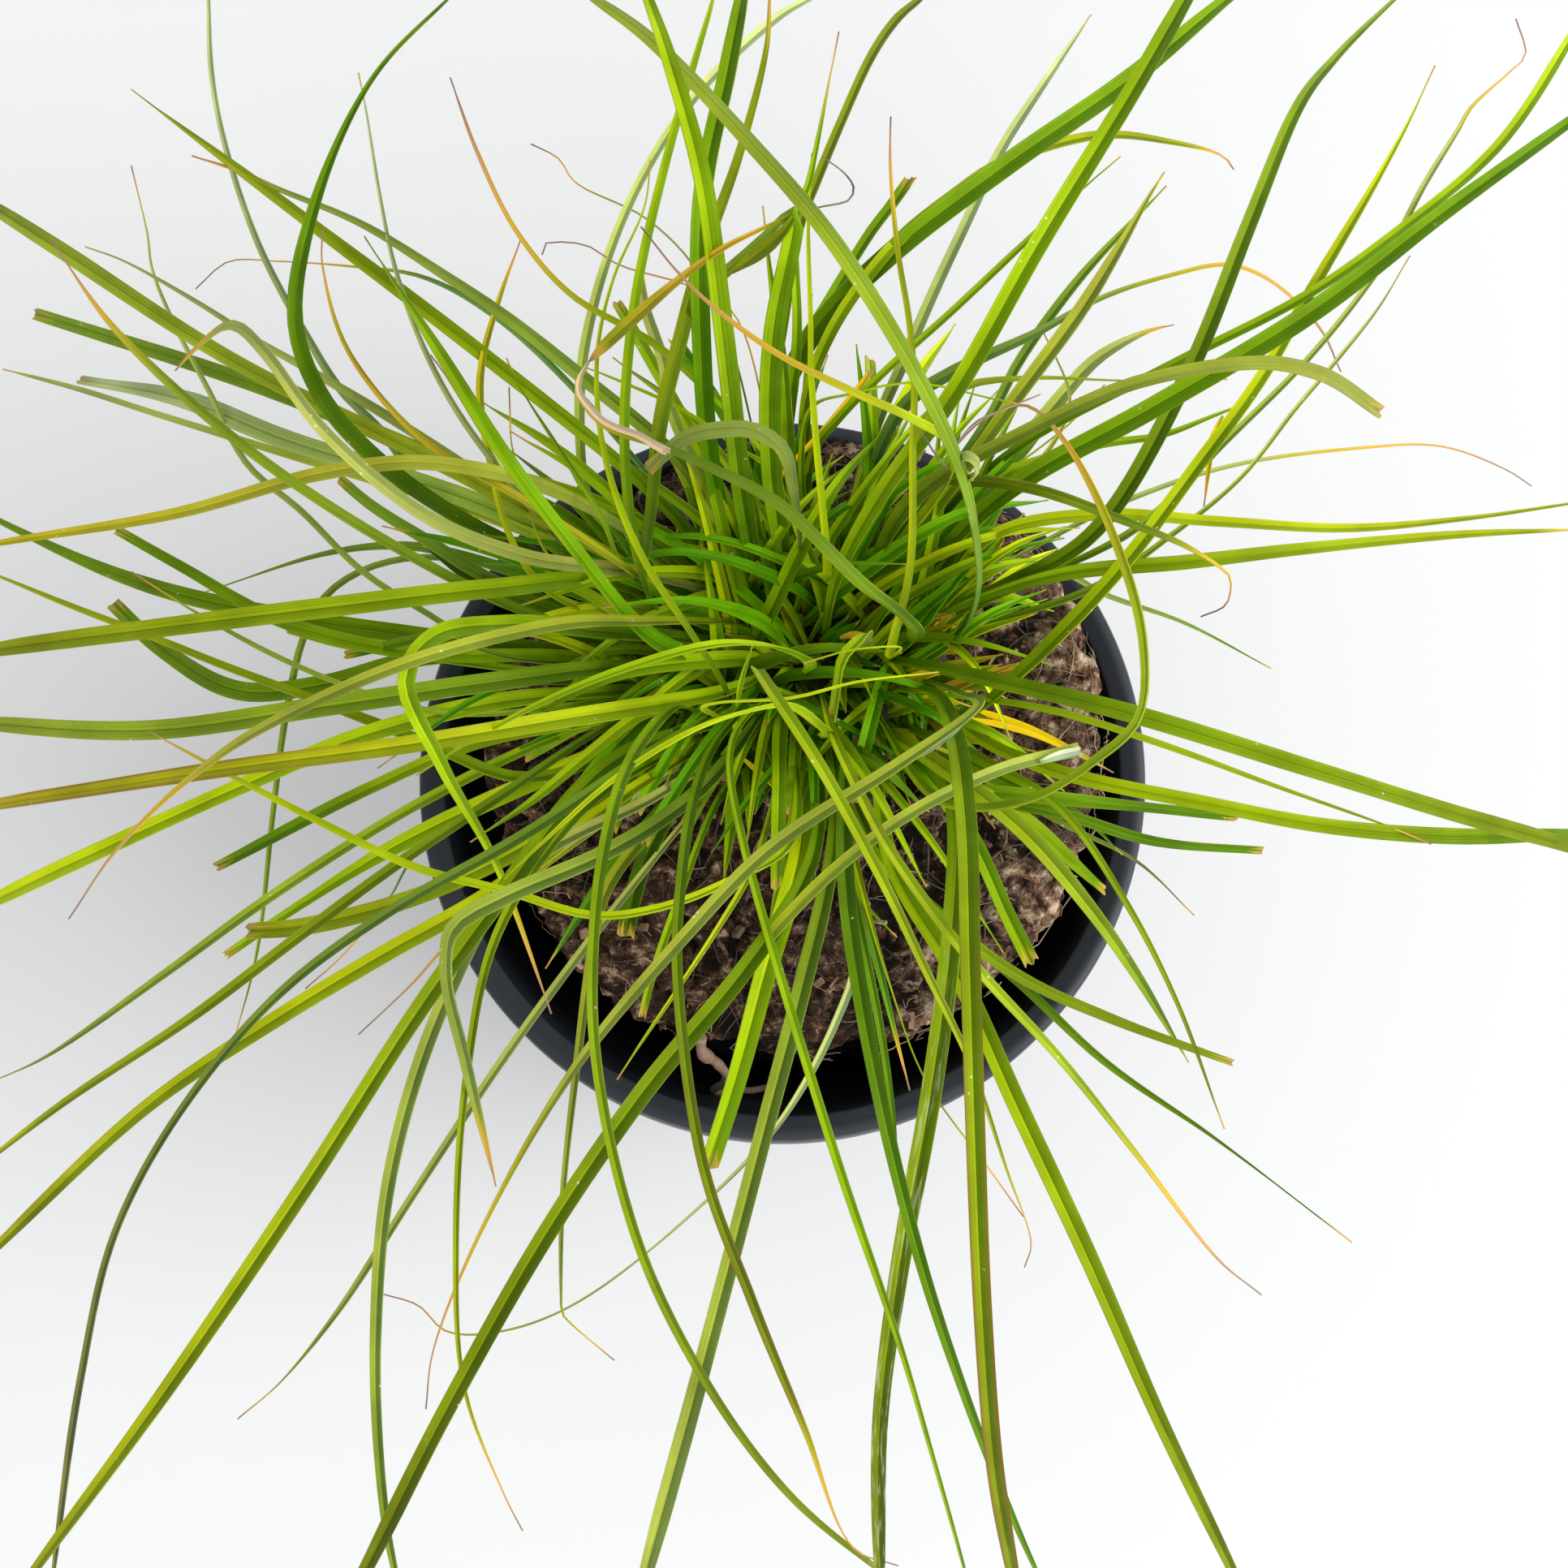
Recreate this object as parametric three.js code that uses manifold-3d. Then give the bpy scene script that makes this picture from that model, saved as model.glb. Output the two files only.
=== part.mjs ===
// A carex sedge in a round nursery pot: the pot, its root ball, the crown of the clump, one loose root and the
// larger leaf blades, each a separate closed solid.
// Millimetres, +Z up, origin at the centre of the pot's underside, -Y at the front.
import * as THREE from "three";
import { mergeVertices } from "three/addons/utils/BufferGeometryUtils.js";
import Module from "manifold-3d";

const wasm = await Module();
wasm.setup();

// ---- driving dimensions ----
const POT_HEIGHT = 110;
const RIM_RADIUS = 65;
const RIM_WIDTH = 4.8; // the flat top of the rim, from its outer edge to the inner wall
const SKIRT_DEPTH = 12; // the collar that hangs from the rim
const BASE_RADIUS = 46;
const WALL = 1.2;
const FLOOR = 2;
const POT_SIDES = 64;

const DRAIN_HOLES = 8;
const DRAIN_RADIUS = 4;
const DRAIN_RING_RADIUS = 33;

const BALL_TOP_RADIUS = 54.5;
const BALL_COLLAR_RADIUS = 51.5; // where the soil's slope starts
const BALL_FOOT_RADIUS = 38.5;
const BALL_TOP = 123; // on the axis of the pot
const BALL_CENTRE = new THREE.Vector2(2.5, 4.5); // the ball stands off centre, towards the back
const BALL_SIDES = 40;
const SOIL_SLOPE = 0.2; // the soil rises towards the back
const SLOPE_START = 96; // height below which the ball is not sheared by that slope

const CROWN_CENTRE = new THREE.Vector2(4, 17);
const CROWN_RADII = new THREE.Vector2(27, 16);
const CROWN_HEIGHT = 12;
const CROWN_SIDES = 28;

const GAP = 0.4; // left between neighbouring pieces
const BLADE_THICKNESS = 0.8;
const BLADE_STATIONS_PER_SPAN = 2;

// ---- small helpers ----
const material = (color, roughness, metalness = 0) =>
  new THREE.MeshStandardMaterial({ color, roughness, metalness });

const PLASTIC = material(0x24262b, 0.55);
const SOIL = material(0x4a382d, 0.95);
const SHEATH = material(0x7d8a2c, 0.7);
const ROOT = material(0xa98a72, 0.8);
const LEAF = material(0x5c8f1e, 0.45);

function namedMesh(name, geometry, look) {
  const mesh = new THREE.Mesh(geometry, look);
  mesh.name = name;
  return mesh;
}

// A body of revolution about Z from [radius, height] pairs that start and end on the axis.
function turned(profile, sides) {
  const points = profile.map(([r, z]) => new THREE.Vector2(r, z));
  return new THREE.LatheGeometry(points, sides).rotateX(Math.PI / 2);
}

function moveVertices(geometry, move) {
  const position = geometry.getAttribute("position");
  const point = new THREE.Vector3();
  for (let i = 0; i < position.count; i++) {
    move(point.fromBufferAttribute(position, i));
    position.setXYZ(i, point.x, point.y, point.z);
  }
  return geometry;
}

function toSolid(geometry) {
  const bare = geometry.clone();
  bare.deleteAttribute("normal");
  bare.deleteAttribute("uv");
  const merged = mergeVertices(bare, 1e-4);
  return new wasm.Manifold(
    new wasm.Mesh({
      numProp: 3,
      vertProperties: new Float32Array(merged.getAttribute("position").array),
      triVerts: new Uint32Array(merged.index.array),
    }),
  );
}

function toGeometry(solid) {
  const mesh = solid.getMesh();
  return new THREE.BufferGeometry()
    .setAttribute("position", new THREE.BufferAttribute(mesh.vertProperties, 3))
    .setIndex(new THREE.BufferAttribute(mesh.triVerts, 1));
}

// ---- pot: a tapered thin wall with a hollow collar under the rim, and drain holes in the floor ----
function potGeometry() {
  const inner = RIM_RADIUS - RIM_WIDTH;
  const outer = inner + WALL;
  const edge = 0.6;
  const body = turned(
    [
      [0, 0],
      [BASE_RADIUS - edge, 0],
      [BASE_RADIUS, edge],
      [outer, POT_HEIGHT - WALL],
      [RIM_RADIUS - WALL, POT_HEIGHT - WALL],
      [RIM_RADIUS - WALL, POT_HEIGHT - SKIRT_DEPTH],
      [RIM_RADIUS, POT_HEIGHT - SKIRT_DEPTH],
      [RIM_RADIUS, POT_HEIGHT - edge],
      [RIM_RADIUS - edge, POT_HEIGHT],
      [inner + edge, POT_HEIGHT],
      [inner, POT_HEIGHT - edge],
      [BASE_RADIUS - WALL, FLOOR],
      [0, FLOOR],
    ],
    POT_SIDES,
  );
  const drill = new THREE.CylinderGeometry(DRAIN_RADIUS, DRAIN_RADIUS, 4 * FLOOR, 16)
    .rotateX(Math.PI / 2)
    .translate(DRAIN_RING_RADIUS, 0, 0);
  let pot = toSolid(body);
  for (let i = 0; i < DRAIN_HOLES; i++) {
    pot = pot.subtract(toSolid(drill));
    drill.rotateZ((2 * Math.PI) / DRAIN_HOLES);
  }
  return toGeometry(pot);
}

// ---- root ball: a tapered plug whose flat top rises towards the back ----
const soilTop = (y) => BALL_TOP + SOIL_SLOPE * y;

function rootBallGeometry() {
  const shape = turned(
    [
      [0, FLOOR + GAP],
      [BALL_FOOT_RADIUS - 2, FLOOR + GAP],
      [BALL_FOOT_RADIUS, FLOOR + GAP + 2],
      [BALL_COLLAR_RADIUS, SLOPE_START],
      [BALL_TOP_RADIUS, BALL_TOP - 8],
      [BALL_TOP_RADIUS - 2, BALL_TOP - 2],
      [BALL_TOP_RADIUS - 6, BALL_TOP],
      [0, BALL_TOP],
    ],
    BALL_SIDES,
  ).translate(BALL_CENTRE.x, BALL_CENTRE.y, 0);
  return moveVertices(shape, (p) => {
    const share = Math.max(0, (p.z - SLOPE_START) / (BALL_TOP - SLOPE_START));
    p.z += SOIL_SLOPE * p.y * share;
  });
}

// ---- crown: a low oval dome on the soil that the blades grow from ----
function crownHeight(x, y) {
  const u = (x - CROWN_CENTRE.x) / CROWN_RADII.x;
  const v = (y - CROWN_CENTRE.y) / CROWN_RADII.y;
  return soilTop(y) + GAP + CROWN_HEIGHT * Math.sqrt(Math.max(0, 1 - u * u - v * v));
}

function crownGeometry() {
  const arcSteps = 6;
  const profile = [[0, 0]];
  for (let i = 0; i <= arcSteps; i++) {
    const angle = (i / arcSteps) * (Math.PI / 2);
    profile.push([Math.cos(angle), i < arcSteps ? Math.sin(angle) : 1]);
  }
  profile[arcSteps + 1][0] = 0;
  const dome = turned(profile, CROWN_SIDES).scale(CROWN_RADII.x, CROWN_RADII.y, CROWN_HEIGHT);
  dome.translate(CROWN_CENTRE.x, CROWN_CENTRE.y, BALL_TOP + GAP);
  return moveVertices(dome, (p) => {
    p.z += SOIL_SLOPE * p.y;
  });
}

// ---- loose root: a thick root that hangs out of the ball into the gap at the front ----
const LOOSE_ROOT_RADIUS = 0.9;
const LOOSE_ROOT_COURSE = [
  [-10.5, -49.2, 104],
  [-11.5, -52.5, 101],
  [-13, -54.5, 92],
  [-11, -53.6, 84],
  [-5, -53.8, 81],
  [1, -52.8, 82],
];

function looseRootGeometry() {
  const course = new THREE.CatmullRomCurve3(LOOSE_ROOT_COURSE.map((p) => new THREE.Vector3(...p)));
  const section = new THREE.Shape().absarc(0, 0, LOOSE_ROOT_RADIUS, 0, 2 * Math.PI);
  return new THREE.ExtrudeGeometry(section, { extrudePath: course, steps: 18, curveSegments: 4 });
}

// ---- blade courses ----
// The courses are drawn on a sheet in perspective, as the clump looks from an eye high above the pot and a little
// to its front. The sheet's x runs right and its y runs towards the front, and SHEET_SCALE sheet units are 1 mm
// at the middle of the rim. Each point also carries its true height in mm, so onSheet() can find its place.
const SHEET_SCALE = 6.89;
const SHEET_CENTRE = [964, 957];
const EYE_DISTANCE = 650;
const EYE_ELEVATION = THREE.MathUtils.degToRad(82);

function onSheet(x, y, height) {
  const up = height - POT_HEIGHT;
  const sin = Math.sin(EYE_ELEVATION);
  const cos = Math.cos(EYE_ELEVATION);
  const u = (x - SHEET_CENTRE[0]) / (SHEET_SCALE * EYE_DISTANCE);
  const v = (SHEET_CENTRE[1] - y) / (SHEET_SCALE * EYE_DISTANCE);
  const placeY = (v * (EYE_DISTANCE - up * sin) - up * cos) / (sin - v * cos);
  const depth = EYE_DISTANCE + placeY * cos - up * sin;
  return new THREE.Vector3(u * depth, placeY, height);
}

// A blade's foot stands on the crown, so its height follows from where it stands.
function footOnSheet(x, y) {
  let foot = onSheet(x, y, BALL_TOP + CROWN_HEIGHT);
  for (let i = 0; i < 3; i++) foot = onSheet(x, y, crownHeight(foot.x, foot.y) + BLADE_FOOT_LIFT);
  return foot;
}

const BLADE_FOOT_LIFT = 0.9;

// Each blade: name, greatest width in mm, tip, then its foot on the sheet and its course from there to the tip.
// A "fine" blade tapers to a point, and a "cut" one ends square.
const BLADES = [
  // towards the left
  ["blade_left_1", 2.4, "fine", [905, 728], [[790, 590, 165], [600, 430, 180], [400, 285, 170], [165, 108, 135]]],
  ["blade_left_2", 2.6, "fine", [860, 778], [[700, 702, 152], [560, 634, 172], [460, 562, 188], [392, 480, 203], [365, 390, 213],
    [385, 265, 213], [450, 105, 200], [560, -15, 175]]],
  ["blade_left_3", 3.0, "fine", [868, 758], [[740, 680, 172], [560, 580, 186], [300, 450, 182], [80, 310, 163],
    [-60, 222, 130]]],
  ["blade_left_4", 2.4, "cut", [838, 765], [[700, 640, 157], [560, 575, 160], [330, 480, 145], [45, 388, 112]]],
  ["blade_left_5", 2.8, "cut", [850, 800], [[640, 642, 166], [500, 585, 174], [360, 540, 176], [230, 490, 155],
    [100, 468, 125]]],
  ["blade_left_6", 2.0, "fine", [872, 818], [[640, 745, 180], [470, 650, 205], [320, 560, 210], [150, 420, 190],
    [65, 295, 165]]],
  ["blade_left_7", 2.8, "fine", [925, 745], [[780, 705, 178], [640, 683, 205], [520, 632, 217], [400, 530, 224],
    [330, 435, 224], [290, 400, 219], [245, 425, 209], [215, 455, 199]]],
  ["blade_left_8", 2.8, "fine", [890, 818], [[790, 780, 188], [700, 670, 217], [620, 560, 227], [540, 430, 221],
    [447, 294, 200]]],
  ["blade_left_9", 2.0, "fine", [900, 775], [[790, 712, 180], [640, 612, 212], [530, 545, 214], [440, 440, 207],
    [398, 330, 190], [398, 285, 180]]],
  ["blade_left_10", 2.0, "fine", [880, 736], [[740, 635, 182], [620, 585, 214], [520, 570, 219], [400, 583, 209],
    [220, 632, 188], [0, 665, 160], [-70, 680, 145]]],
  ["blade_left_11", 2.0, "fine", [822, 800], [[700, 800, 150], [520, 780, 155], [300, 745, 146], [160, 710, 128],
    [0, 635, 100], [-60, 600, 85]]],
  ["blade_left_12", 3.0, "fine", [866, 795], [[765, 718, 168], [600, 722, 198], [400, 743, 200], [200, 768, 190],
    [0, 798, 165], [-70, 812, 150]]],
  ["blade_left_13", 2.9, "cut", [815, 822], [[640, 806, 150], [510, 815, 148], [400, 845, 140], [300, 853, 130],
    [200, 800, 112], [140, 745, 100]]],
  ["blade_left_14", 3.0, "fine", [890, 838], [[760, 822, 168], [600, 838, 187], [400, 865, 189], [200, 890, 175],
    [0, 883, 145], [-60, 875, 130]]],
  ["blade_left_15", 1.9, "fine", [935, 770], [[800, 765, 200], [672, 768, 232], [500, 808, 247], [340, 875, 235],
    [230, 945, 210], [140, 1045, 178], [83, 1130, 150]]],
  ["blade_left_16", 2.3, "fine", [912, 795], [[740, 778, 190], [620, 770, 222], [530, 785, 239], [497, 830, 244],
    [540, 940, 227], [610, 1070, 200], [675, 1250, 175]]],
  ["blade_left_17", 3.2, "fine", [945, 830], [[880, 856, 172], [672, 888, 210], [500, 915, 220], [300, 940, 210],
    [100, 970, 185], [0, 990, 170], [-70, 1003, 155]]],
  ["blade_left_18", 2.7, "fine", [842, 845], [[740, 853, 157], [600, 866, 172], [450, 903, 175], [300, 962, 165],
    [100, 1055, 142], [0, 1105, 125], [-60, 1135, 112]]],
  ["blade_left_19", 2.2, "cut", [862, 868], [[760, 885, 155], [600, 915, 158], [460, 975, 148], [270, 1068, 125]]],
  ["blade_left_20", 3.0, "cut", [868, 892], [[740, 985, 163], [620, 1060, 170], [510, 1110, 166], [380, 1140, 157],
    [308, 1147, 150]]],
  ["blade_left_21", 2.4, "fine", [893, 873], [[760, 890, 170], [620, 980, 185], [500, 1060, 190], [380, 1145, 186],
    [240, 1245, 170], [80, 1360, 140], [-50, 1460, 108]]],
  ["blade_left_22", 2.9, "fine", [900, 900], [[760, 985, 172], [600, 1100, 190], [470, 1170, 191], [330, 1260, 182],
    [180, 1365, 162], [0, 1530, 128], [-50, 1580, 112]]],
  ["blade_left_23", 1.9, "fine", [918, 858], [[850, 900, 184], [780, 942, 201], [640, 1035, 214], [480, 1125, 217], [350, 1225, 219],
    [230, 1355, 211], [145, 1510, 196], [102, 1700, 172], [65, 1960, 135]]],
  // towards the front
  ["blade_front_1", 3.3, "fine", [930, 882], [[740, 950, 188], [620, 1100, 208], [510, 1250, 220], [380, 1450, 222],
    [200, 1720, 205], [38, 1932, 175], [-10, 2000, 160]]],
  ["blade_front_2", 2.6, "fine", [925, 908], [[800, 985, 174], [640, 1070, 190], [540, 1240, 203], [475, 1440, 212],
    [458, 1640, 200], [475, 1860, 170], [500, 1990, 145]]],
  ["blade_front_3", 2.9, "fine", [953, 860], [[850, 985, 200], [740, 1055, 226], [620, 1105, 240], [565, 1135, 240],
    [548, 1190, 230], [570, 1310, 205], [611, 1460, 172]]],
  ["blade_front_4", 2.4, "fine", [1128, 838], [[1180, 858, 200], [1196, 882, 247], [1100, 945, 262], [950, 1040, 258],
    [830, 1160, 246], [700, 1310, 222], [590, 1510, 188], [535, 1660, 162], [525, 1735, 145]]],
  ["blade_front_5", 2.3, "fine", [878, 888], [[820, 880, 202], [760, 970, 234], [730, 1120, 250], [735, 1280, 250],
    [790, 1510, 230], [870, 1700, 200], [980, 1840, 168], [1085, 1932, 142], [1130, 1965, 130]]],
  ["blade_front_6", 3.2, "fine", [1008, 888], [[1000, 1070, 182], [920, 1200, 203], [800, 1350, 215],
    [680, 1510, 214], [560, 1730, 196], [455, 1932, 168], [420, 1995, 155]]],
  ["blade_front_7", 3.3, "fine", [1028, 905], [[1025, 1060, 170], [985, 1230, 190], [945, 1380, 202],
    [890, 1590, 202], [850, 1740, 192], [800, 1932, 166], [785, 1990, 155]]],
  ["blade_front_8", 2.8, "cut", [985, 912], [[985, 1050, 158], [940, 1200, 170], [905, 1320, 168], [877, 1438, 158]]],
  ["blade_front_9", 1.8, "fine", [938, 852], [[868, 940, 194], [838, 1080, 232], [833, 1200, 238], [870, 1420, 232],
    [930, 1600, 210], [990, 1760, 184], [1055, 1905, 156], [1105, 1930, 146]]],
  ["blade_front_10", 2.1, "fine", [970, 842], [[900, 920, 205], [915, 1040, 240], [965, 1220, 250], [1030, 1430, 242],
    [1105, 1650, 216], [1150, 1790, 190], [1190, 1932, 158], [1200, 1975, 146]]],
  ["blade_front_11", 2.4, "fine", [1048, 882], [[1038, 1000, 188], [1045, 1150, 218], [1080, 1360, 228],
    [1130, 1540, 218], [1190, 1720, 192], [1250, 1870, 161], [1290, 1960, 140]]],
  ["blade_front_12", 2.9, "fine", [1112, 872], [[1175, 1000, 178], [1170, 1150, 198], [1140, 1350, 208],
    [1105, 1550, 206], [1083, 1740, 188], [1082, 1932, 158], [1085, 1990, 145]]],
  ["blade_front_13", 3.2, "fine", [1098, 848], [[1162, 872, 190], [1187, 1000, 232], [1192, 1200, 254],
    [1197, 1400, 256], [1203, 1600, 243], [1220, 1800, 216], [1242, 1940, 190], [1255, 2000, 175]]],
  ["blade_front_14", 3.2, "fine", [1078, 890], [[1110, 1070, 180], [1200, 1210, 198], [1270, 1350, 207],
    [1350, 1540, 206], [1430, 1740, 190], [1515, 1932, 162], [1540, 1985, 150]]],
  ["blade_front_15", 2.2, "fine", [1010, 852], [[1040, 940, 212], [1110, 1070, 242], [1200, 1190, 246],
    [1300, 1300, 234], [1400, 1420, 208], [1500, 1555, 172], [1552, 1598, 158]]],
  ["blade_front_16", 2.3, "fine", [988, 862], [[952, 850, 215], [940, 838, 266], [1000, 940, 272], [1070, 1070, 262],
    [1130, 1200, 240], [1190, 1310, 216], [1240, 1440, 188], [1270, 1530, 163], [1262, 1560, 152]]],
  // towards the right
  ["blade_right_1", 2.3, "fine", [1130, 765], [[1240, 715, 160], [1350, 640, 184], [1460, 460, 200], [1540, 280, 207],
    [1595, 140, 203], [1640, 70, 188], [1715, 0, 168], [1760, -40, 152]]],
  ["blade_right_2", 3.3, "fine", [1106, 742], [[1260, 590, 195], [1420, 500, 208], [1600, 390, 212], [1770, 265, 197],
    [1932, 150, 170], [1985, 112, 158]]],
  ["blade_right_3", 2.6, "fine", [1082, 728], [[1250, 552, 182], [1440, 448, 193], [1600, 366, 195], [1720, 282, 186],
    [1840, 180, 167], [1932, 50, 140], [1960, 0, 128]]],
  ["blade_right_4", 2.9, "cut", [1058, 742], [[1130, 610, 196], [1250, 535, 228], [1400, 467, 240], [1540, 441, 243],
    [1620, 450, 234], [1697, 508, 206]]],
  ["blade_right_5", 2.3, "fine", [1145, 790], [[1230, 655, 174], [1350, 634, 179], [1500, 642, 178], [1650, 650, 168],
    [1800, 637, 150], [1932, 616, 133], [1970, 610, 126]]],
  ["blade_right_6", 3.0, "fine", [1085, 812], [[1200, 828, 192], [1400, 868, 214], [1620, 935, 207], [1780, 988, 187],
    [1932, 1045, 160], [1990, 1068, 148]]],
  ["blade_right_7", 2.9, "fine", [1152, 868], [[1230, 922, 166], [1330, 957, 182], [1480, 985, 184], [1620, 1012, 175],
    [1780, 1030, 155], [1932, 1030, 130], [1990, 1028, 118]]],
  ["blade_right_8", 2.2, "fine", [1068, 862], [[1170, 990, 192], [1270, 982, 213], [1345, 935, 226], [1400, 880, 234],
    [1407, 790, 238], [1370, 660, 233], [1310, 540, 222], [1262, 497, 214], [1205, 520, 205], [1168, 558, 198]]],
  // towards the back
  ["blade_back_1", 2.6, "fine", [938, 742], [[915, 600, 195], [895, 400, 240], [870, 220, 258], [830, 70, 252],
    [795, -30, 240]]],
  ["blade_back_2", 2.5, "fine", [922, 716], [[880, 600, 180], [863, 440, 218], [872, 250, 232], [900, 90, 226],
    [925, -40, 212]]],
  ["blade_back_3", 2.8, "fine", [975, 742], [[955, 560, 200], [965, 400, 236], [985, 285, 254], [980, 266, 257],
    [940, 290, 250], [885, 335, 236]]],
  ["blade_back_4", 2.3, "fine", [1155, 812], [[1200, 760, 182], [1210, 680, 222], [1180, 560, 255], [1120, 440, 268],
    [1030, 300, 268], [920, 160, 252], [800, 40, 228], [720, -15, 208]]],
  ["blade_back_5", 3.1, "fine", [1018, 778], [[1040, 700, 180], [1100, 600, 216], [1190, 480, 240], [1290, 310, 250],
    [1400, 130, 242], [1475, 0, 226], [1500, -45, 215]]],
  ["blade_back_6", 3.0, "fine", [998, 715], [[950, 545, 170], [990, 410, 196], [1090, 300, 214], [1230, 200, 214],
    [1380, 100, 196], [1520, 0, 172], [1570, -35, 160]]],
];

// Width along a blade, as a share of its greatest width: s runs from 0 at the foot to 1 at the tip.
function bladeWidthShare(s, tip) {
  const rise = 0.62 + 0.38 * Math.min(1, s / 0.3);
  const taper = tip === "cut" ? 1 - 0.15 * s : 1 - 0.9 * Math.max(0, (s - 0.45) / 0.55) ** 1.4;
  return rise * taper;
}

// A blade is a flat diamond section carried along its course, turning no more than the course does.
function bladeGeometry(width, tip, foot, course) {
  const points = [footOnSheet(...foot), ...course.map((p) => onSheet(...p))];
  const curve = new THREE.CatmullRomCurve3(points, false, "centripetal");
  const spans = BLADE_STATIONS_PER_SPAN * (points.length - 1);
  const lengths = curve.getLengths(20 * spans);
  const whole = lengths[lengths.length - 1];
  const vertices = [];
  const across = new THREE.Vector3(0, 0, 1).cross(curve.getTangent(0)).normalize();
  for (let i = 0; i <= spans; i++) {
    const centre = curve.getPoint(i / spans);
    const along = curve.getTangent(i / spans);
    across.addScaledVector(along, -across.dot(along)).normalize();
    const face = along.clone().cross(across);
    const half = (width / 2) * bladeWidthShare(lengths[20 * i] / whole, tip);
    const thick = (BLADE_THICKNESS / 2) * Math.min(1, 0.4 + half);
    vertices.push(
      centre.clone().addScaledVector(across, half),
      centre.clone().addScaledVector(face, thick),
      centre.clone().addScaledVector(across, -half),
      centre.clone().addScaledVector(face, -thick),
    );
  }
  const faces = [0, 2, 1, 0, 3, 2];
  for (let i = 0; i < spans; i++) {
    for (let k = 0; k < 4; k++) {
      const a = 4 * i + k;
      const b = 4 * i + ((k + 1) % 4);
      faces.push(a, b, b + 4, a, b + 4, a + 4);
    }
  }
  const end = 4 * spans;
  faces.push(end, end + 1, end + 2, end, end + 2, end + 3);
  return new THREE.BufferGeometry().setFromPoints(vertices).setIndex(faces);
}

// ---- the object ----
const sedge = new THREE.Group();
sedge.add(
  namedMesh("pot", potGeometry(), PLASTIC),
  namedMesh("root_ball", rootBallGeometry(), SOIL),
  namedMesh("crown", crownGeometry(), SHEATH),
  namedMesh("loose_root", looseRootGeometry(), ROOT),
);
for (const [name, width, tip, foot, course] of BLADES) {
  sedge.add(namedMesh(name, bladeGeometry(width, tip, foot, course), LEAF));
}

export default sedge;
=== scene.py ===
# Looks of a carex sedge in its nursery pot: pot, peat root ball, crown of sheaths and every leaf.
import math
import random

import bmesh
import bpy
import numpy as np
from mathutils import Matrix, Vector, noise


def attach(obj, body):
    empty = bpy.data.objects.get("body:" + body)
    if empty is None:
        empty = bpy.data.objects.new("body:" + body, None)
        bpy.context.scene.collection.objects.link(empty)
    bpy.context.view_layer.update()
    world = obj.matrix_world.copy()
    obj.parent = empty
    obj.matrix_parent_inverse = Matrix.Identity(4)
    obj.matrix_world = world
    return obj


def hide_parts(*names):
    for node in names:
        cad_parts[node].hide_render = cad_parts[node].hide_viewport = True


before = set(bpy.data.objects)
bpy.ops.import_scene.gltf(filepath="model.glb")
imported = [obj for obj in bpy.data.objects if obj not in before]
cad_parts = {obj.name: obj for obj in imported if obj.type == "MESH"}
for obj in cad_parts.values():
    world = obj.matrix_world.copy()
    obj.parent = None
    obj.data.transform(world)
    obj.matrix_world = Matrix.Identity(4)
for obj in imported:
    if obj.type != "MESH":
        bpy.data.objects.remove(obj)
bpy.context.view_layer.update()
bpy.ops.object.select_all(action="DESELECT")

MM = 0.001
FULL_TURN = 2 * math.pi
UP = Vector((0, 0, 1))
DOWN = Vector((0, 0, -1))

# ---- places shared with the solids, in millimetres ----
POT_HEIGHT = 110
BALL_TOP = 123
BALL_CENTRE = (2.5, 4.5)
SOIL_SLOPE = 0.2
CROWN_CENTRE = (4, 17)
CROWN_RADII = (27, 16)
CROWN_HEIGHT = 12

# ---- the sheet that the leaf courses are drawn on: a view from high above, a little to the front ----
IMAGE_SIDE = 1932
SHEET_SCALE = 6.89  # sheet units in a millimetre at the middle of the rim
SHEET_CENTRE = (964, 957)
EYE_DISTANCE = 650
EYE_ELEVATION = math.radians(82)
SENSOR = 36


def soil_height(y):
    return BALL_TOP + SOIL_SLOPE * y


def crown_height(x, y):
    u = (x - CROWN_CENTRE[0]) / CROWN_RADII[0]
    v = (y - CROWN_CENTRE[1]) / CROWN_RADII[1]
    return soil_height(y) + CROWN_HEIGHT * math.sqrt(max(0.0, 1 - u * u - v * v))


def on_sheet(x, y, height):
    """The place in millimetres of a sheet point that has this height above the ground."""
    up = height - POT_HEIGHT
    sin, cos = math.sin(EYE_ELEVATION), math.cos(EYE_ELEVATION)
    u = (x - SHEET_CENTRE[0]) / (SHEET_SCALE * EYE_DISTANCE)
    v = (SHEET_CENTRE[1] - y) / (SHEET_SCALE * EYE_DISTANCE)
    place_y = (v * (EYE_DISTANCE - up * sin) - up * cos) / (sin - v * cos)
    depth = EYE_DISTANCE + place_y * cos - up * sin
    return Vector((u * depth, place_y, height))


def foot_on_sheet(x, y):
    """The place on the crown under a sheet point: its height is found in a few rounds."""
    foot = on_sheet(x, y, BALL_TOP + CROWN_HEIGHT)
    for _ in range(3):
        foot = on_sheet(x, y, crown_height(foot.x, foot.y))
    return foot


# ---- modelling helpers ----
def only(*objects):
    """Selects these objects and makes the first one active."""
    bpy.ops.object.select_all(action="DESELECT")
    for obj in objects:
        obj.select_set(True)
    bpy.context.view_layer.objects.active = objects[0]


def named(name):
    obj = bpy.context.active_object
    obj.name = name
    obj.data.name = name
    return obj


def joined(name, objects):
    only(*objects)
    if len(objects) > 1:
        bpy.ops.object.join()
    return named(name)


def new_piece(name, mesh):
    obj = bpy.data.objects.new(name, mesh)
    bpy.context.collection.objects.link(obj)
    return obj


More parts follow.
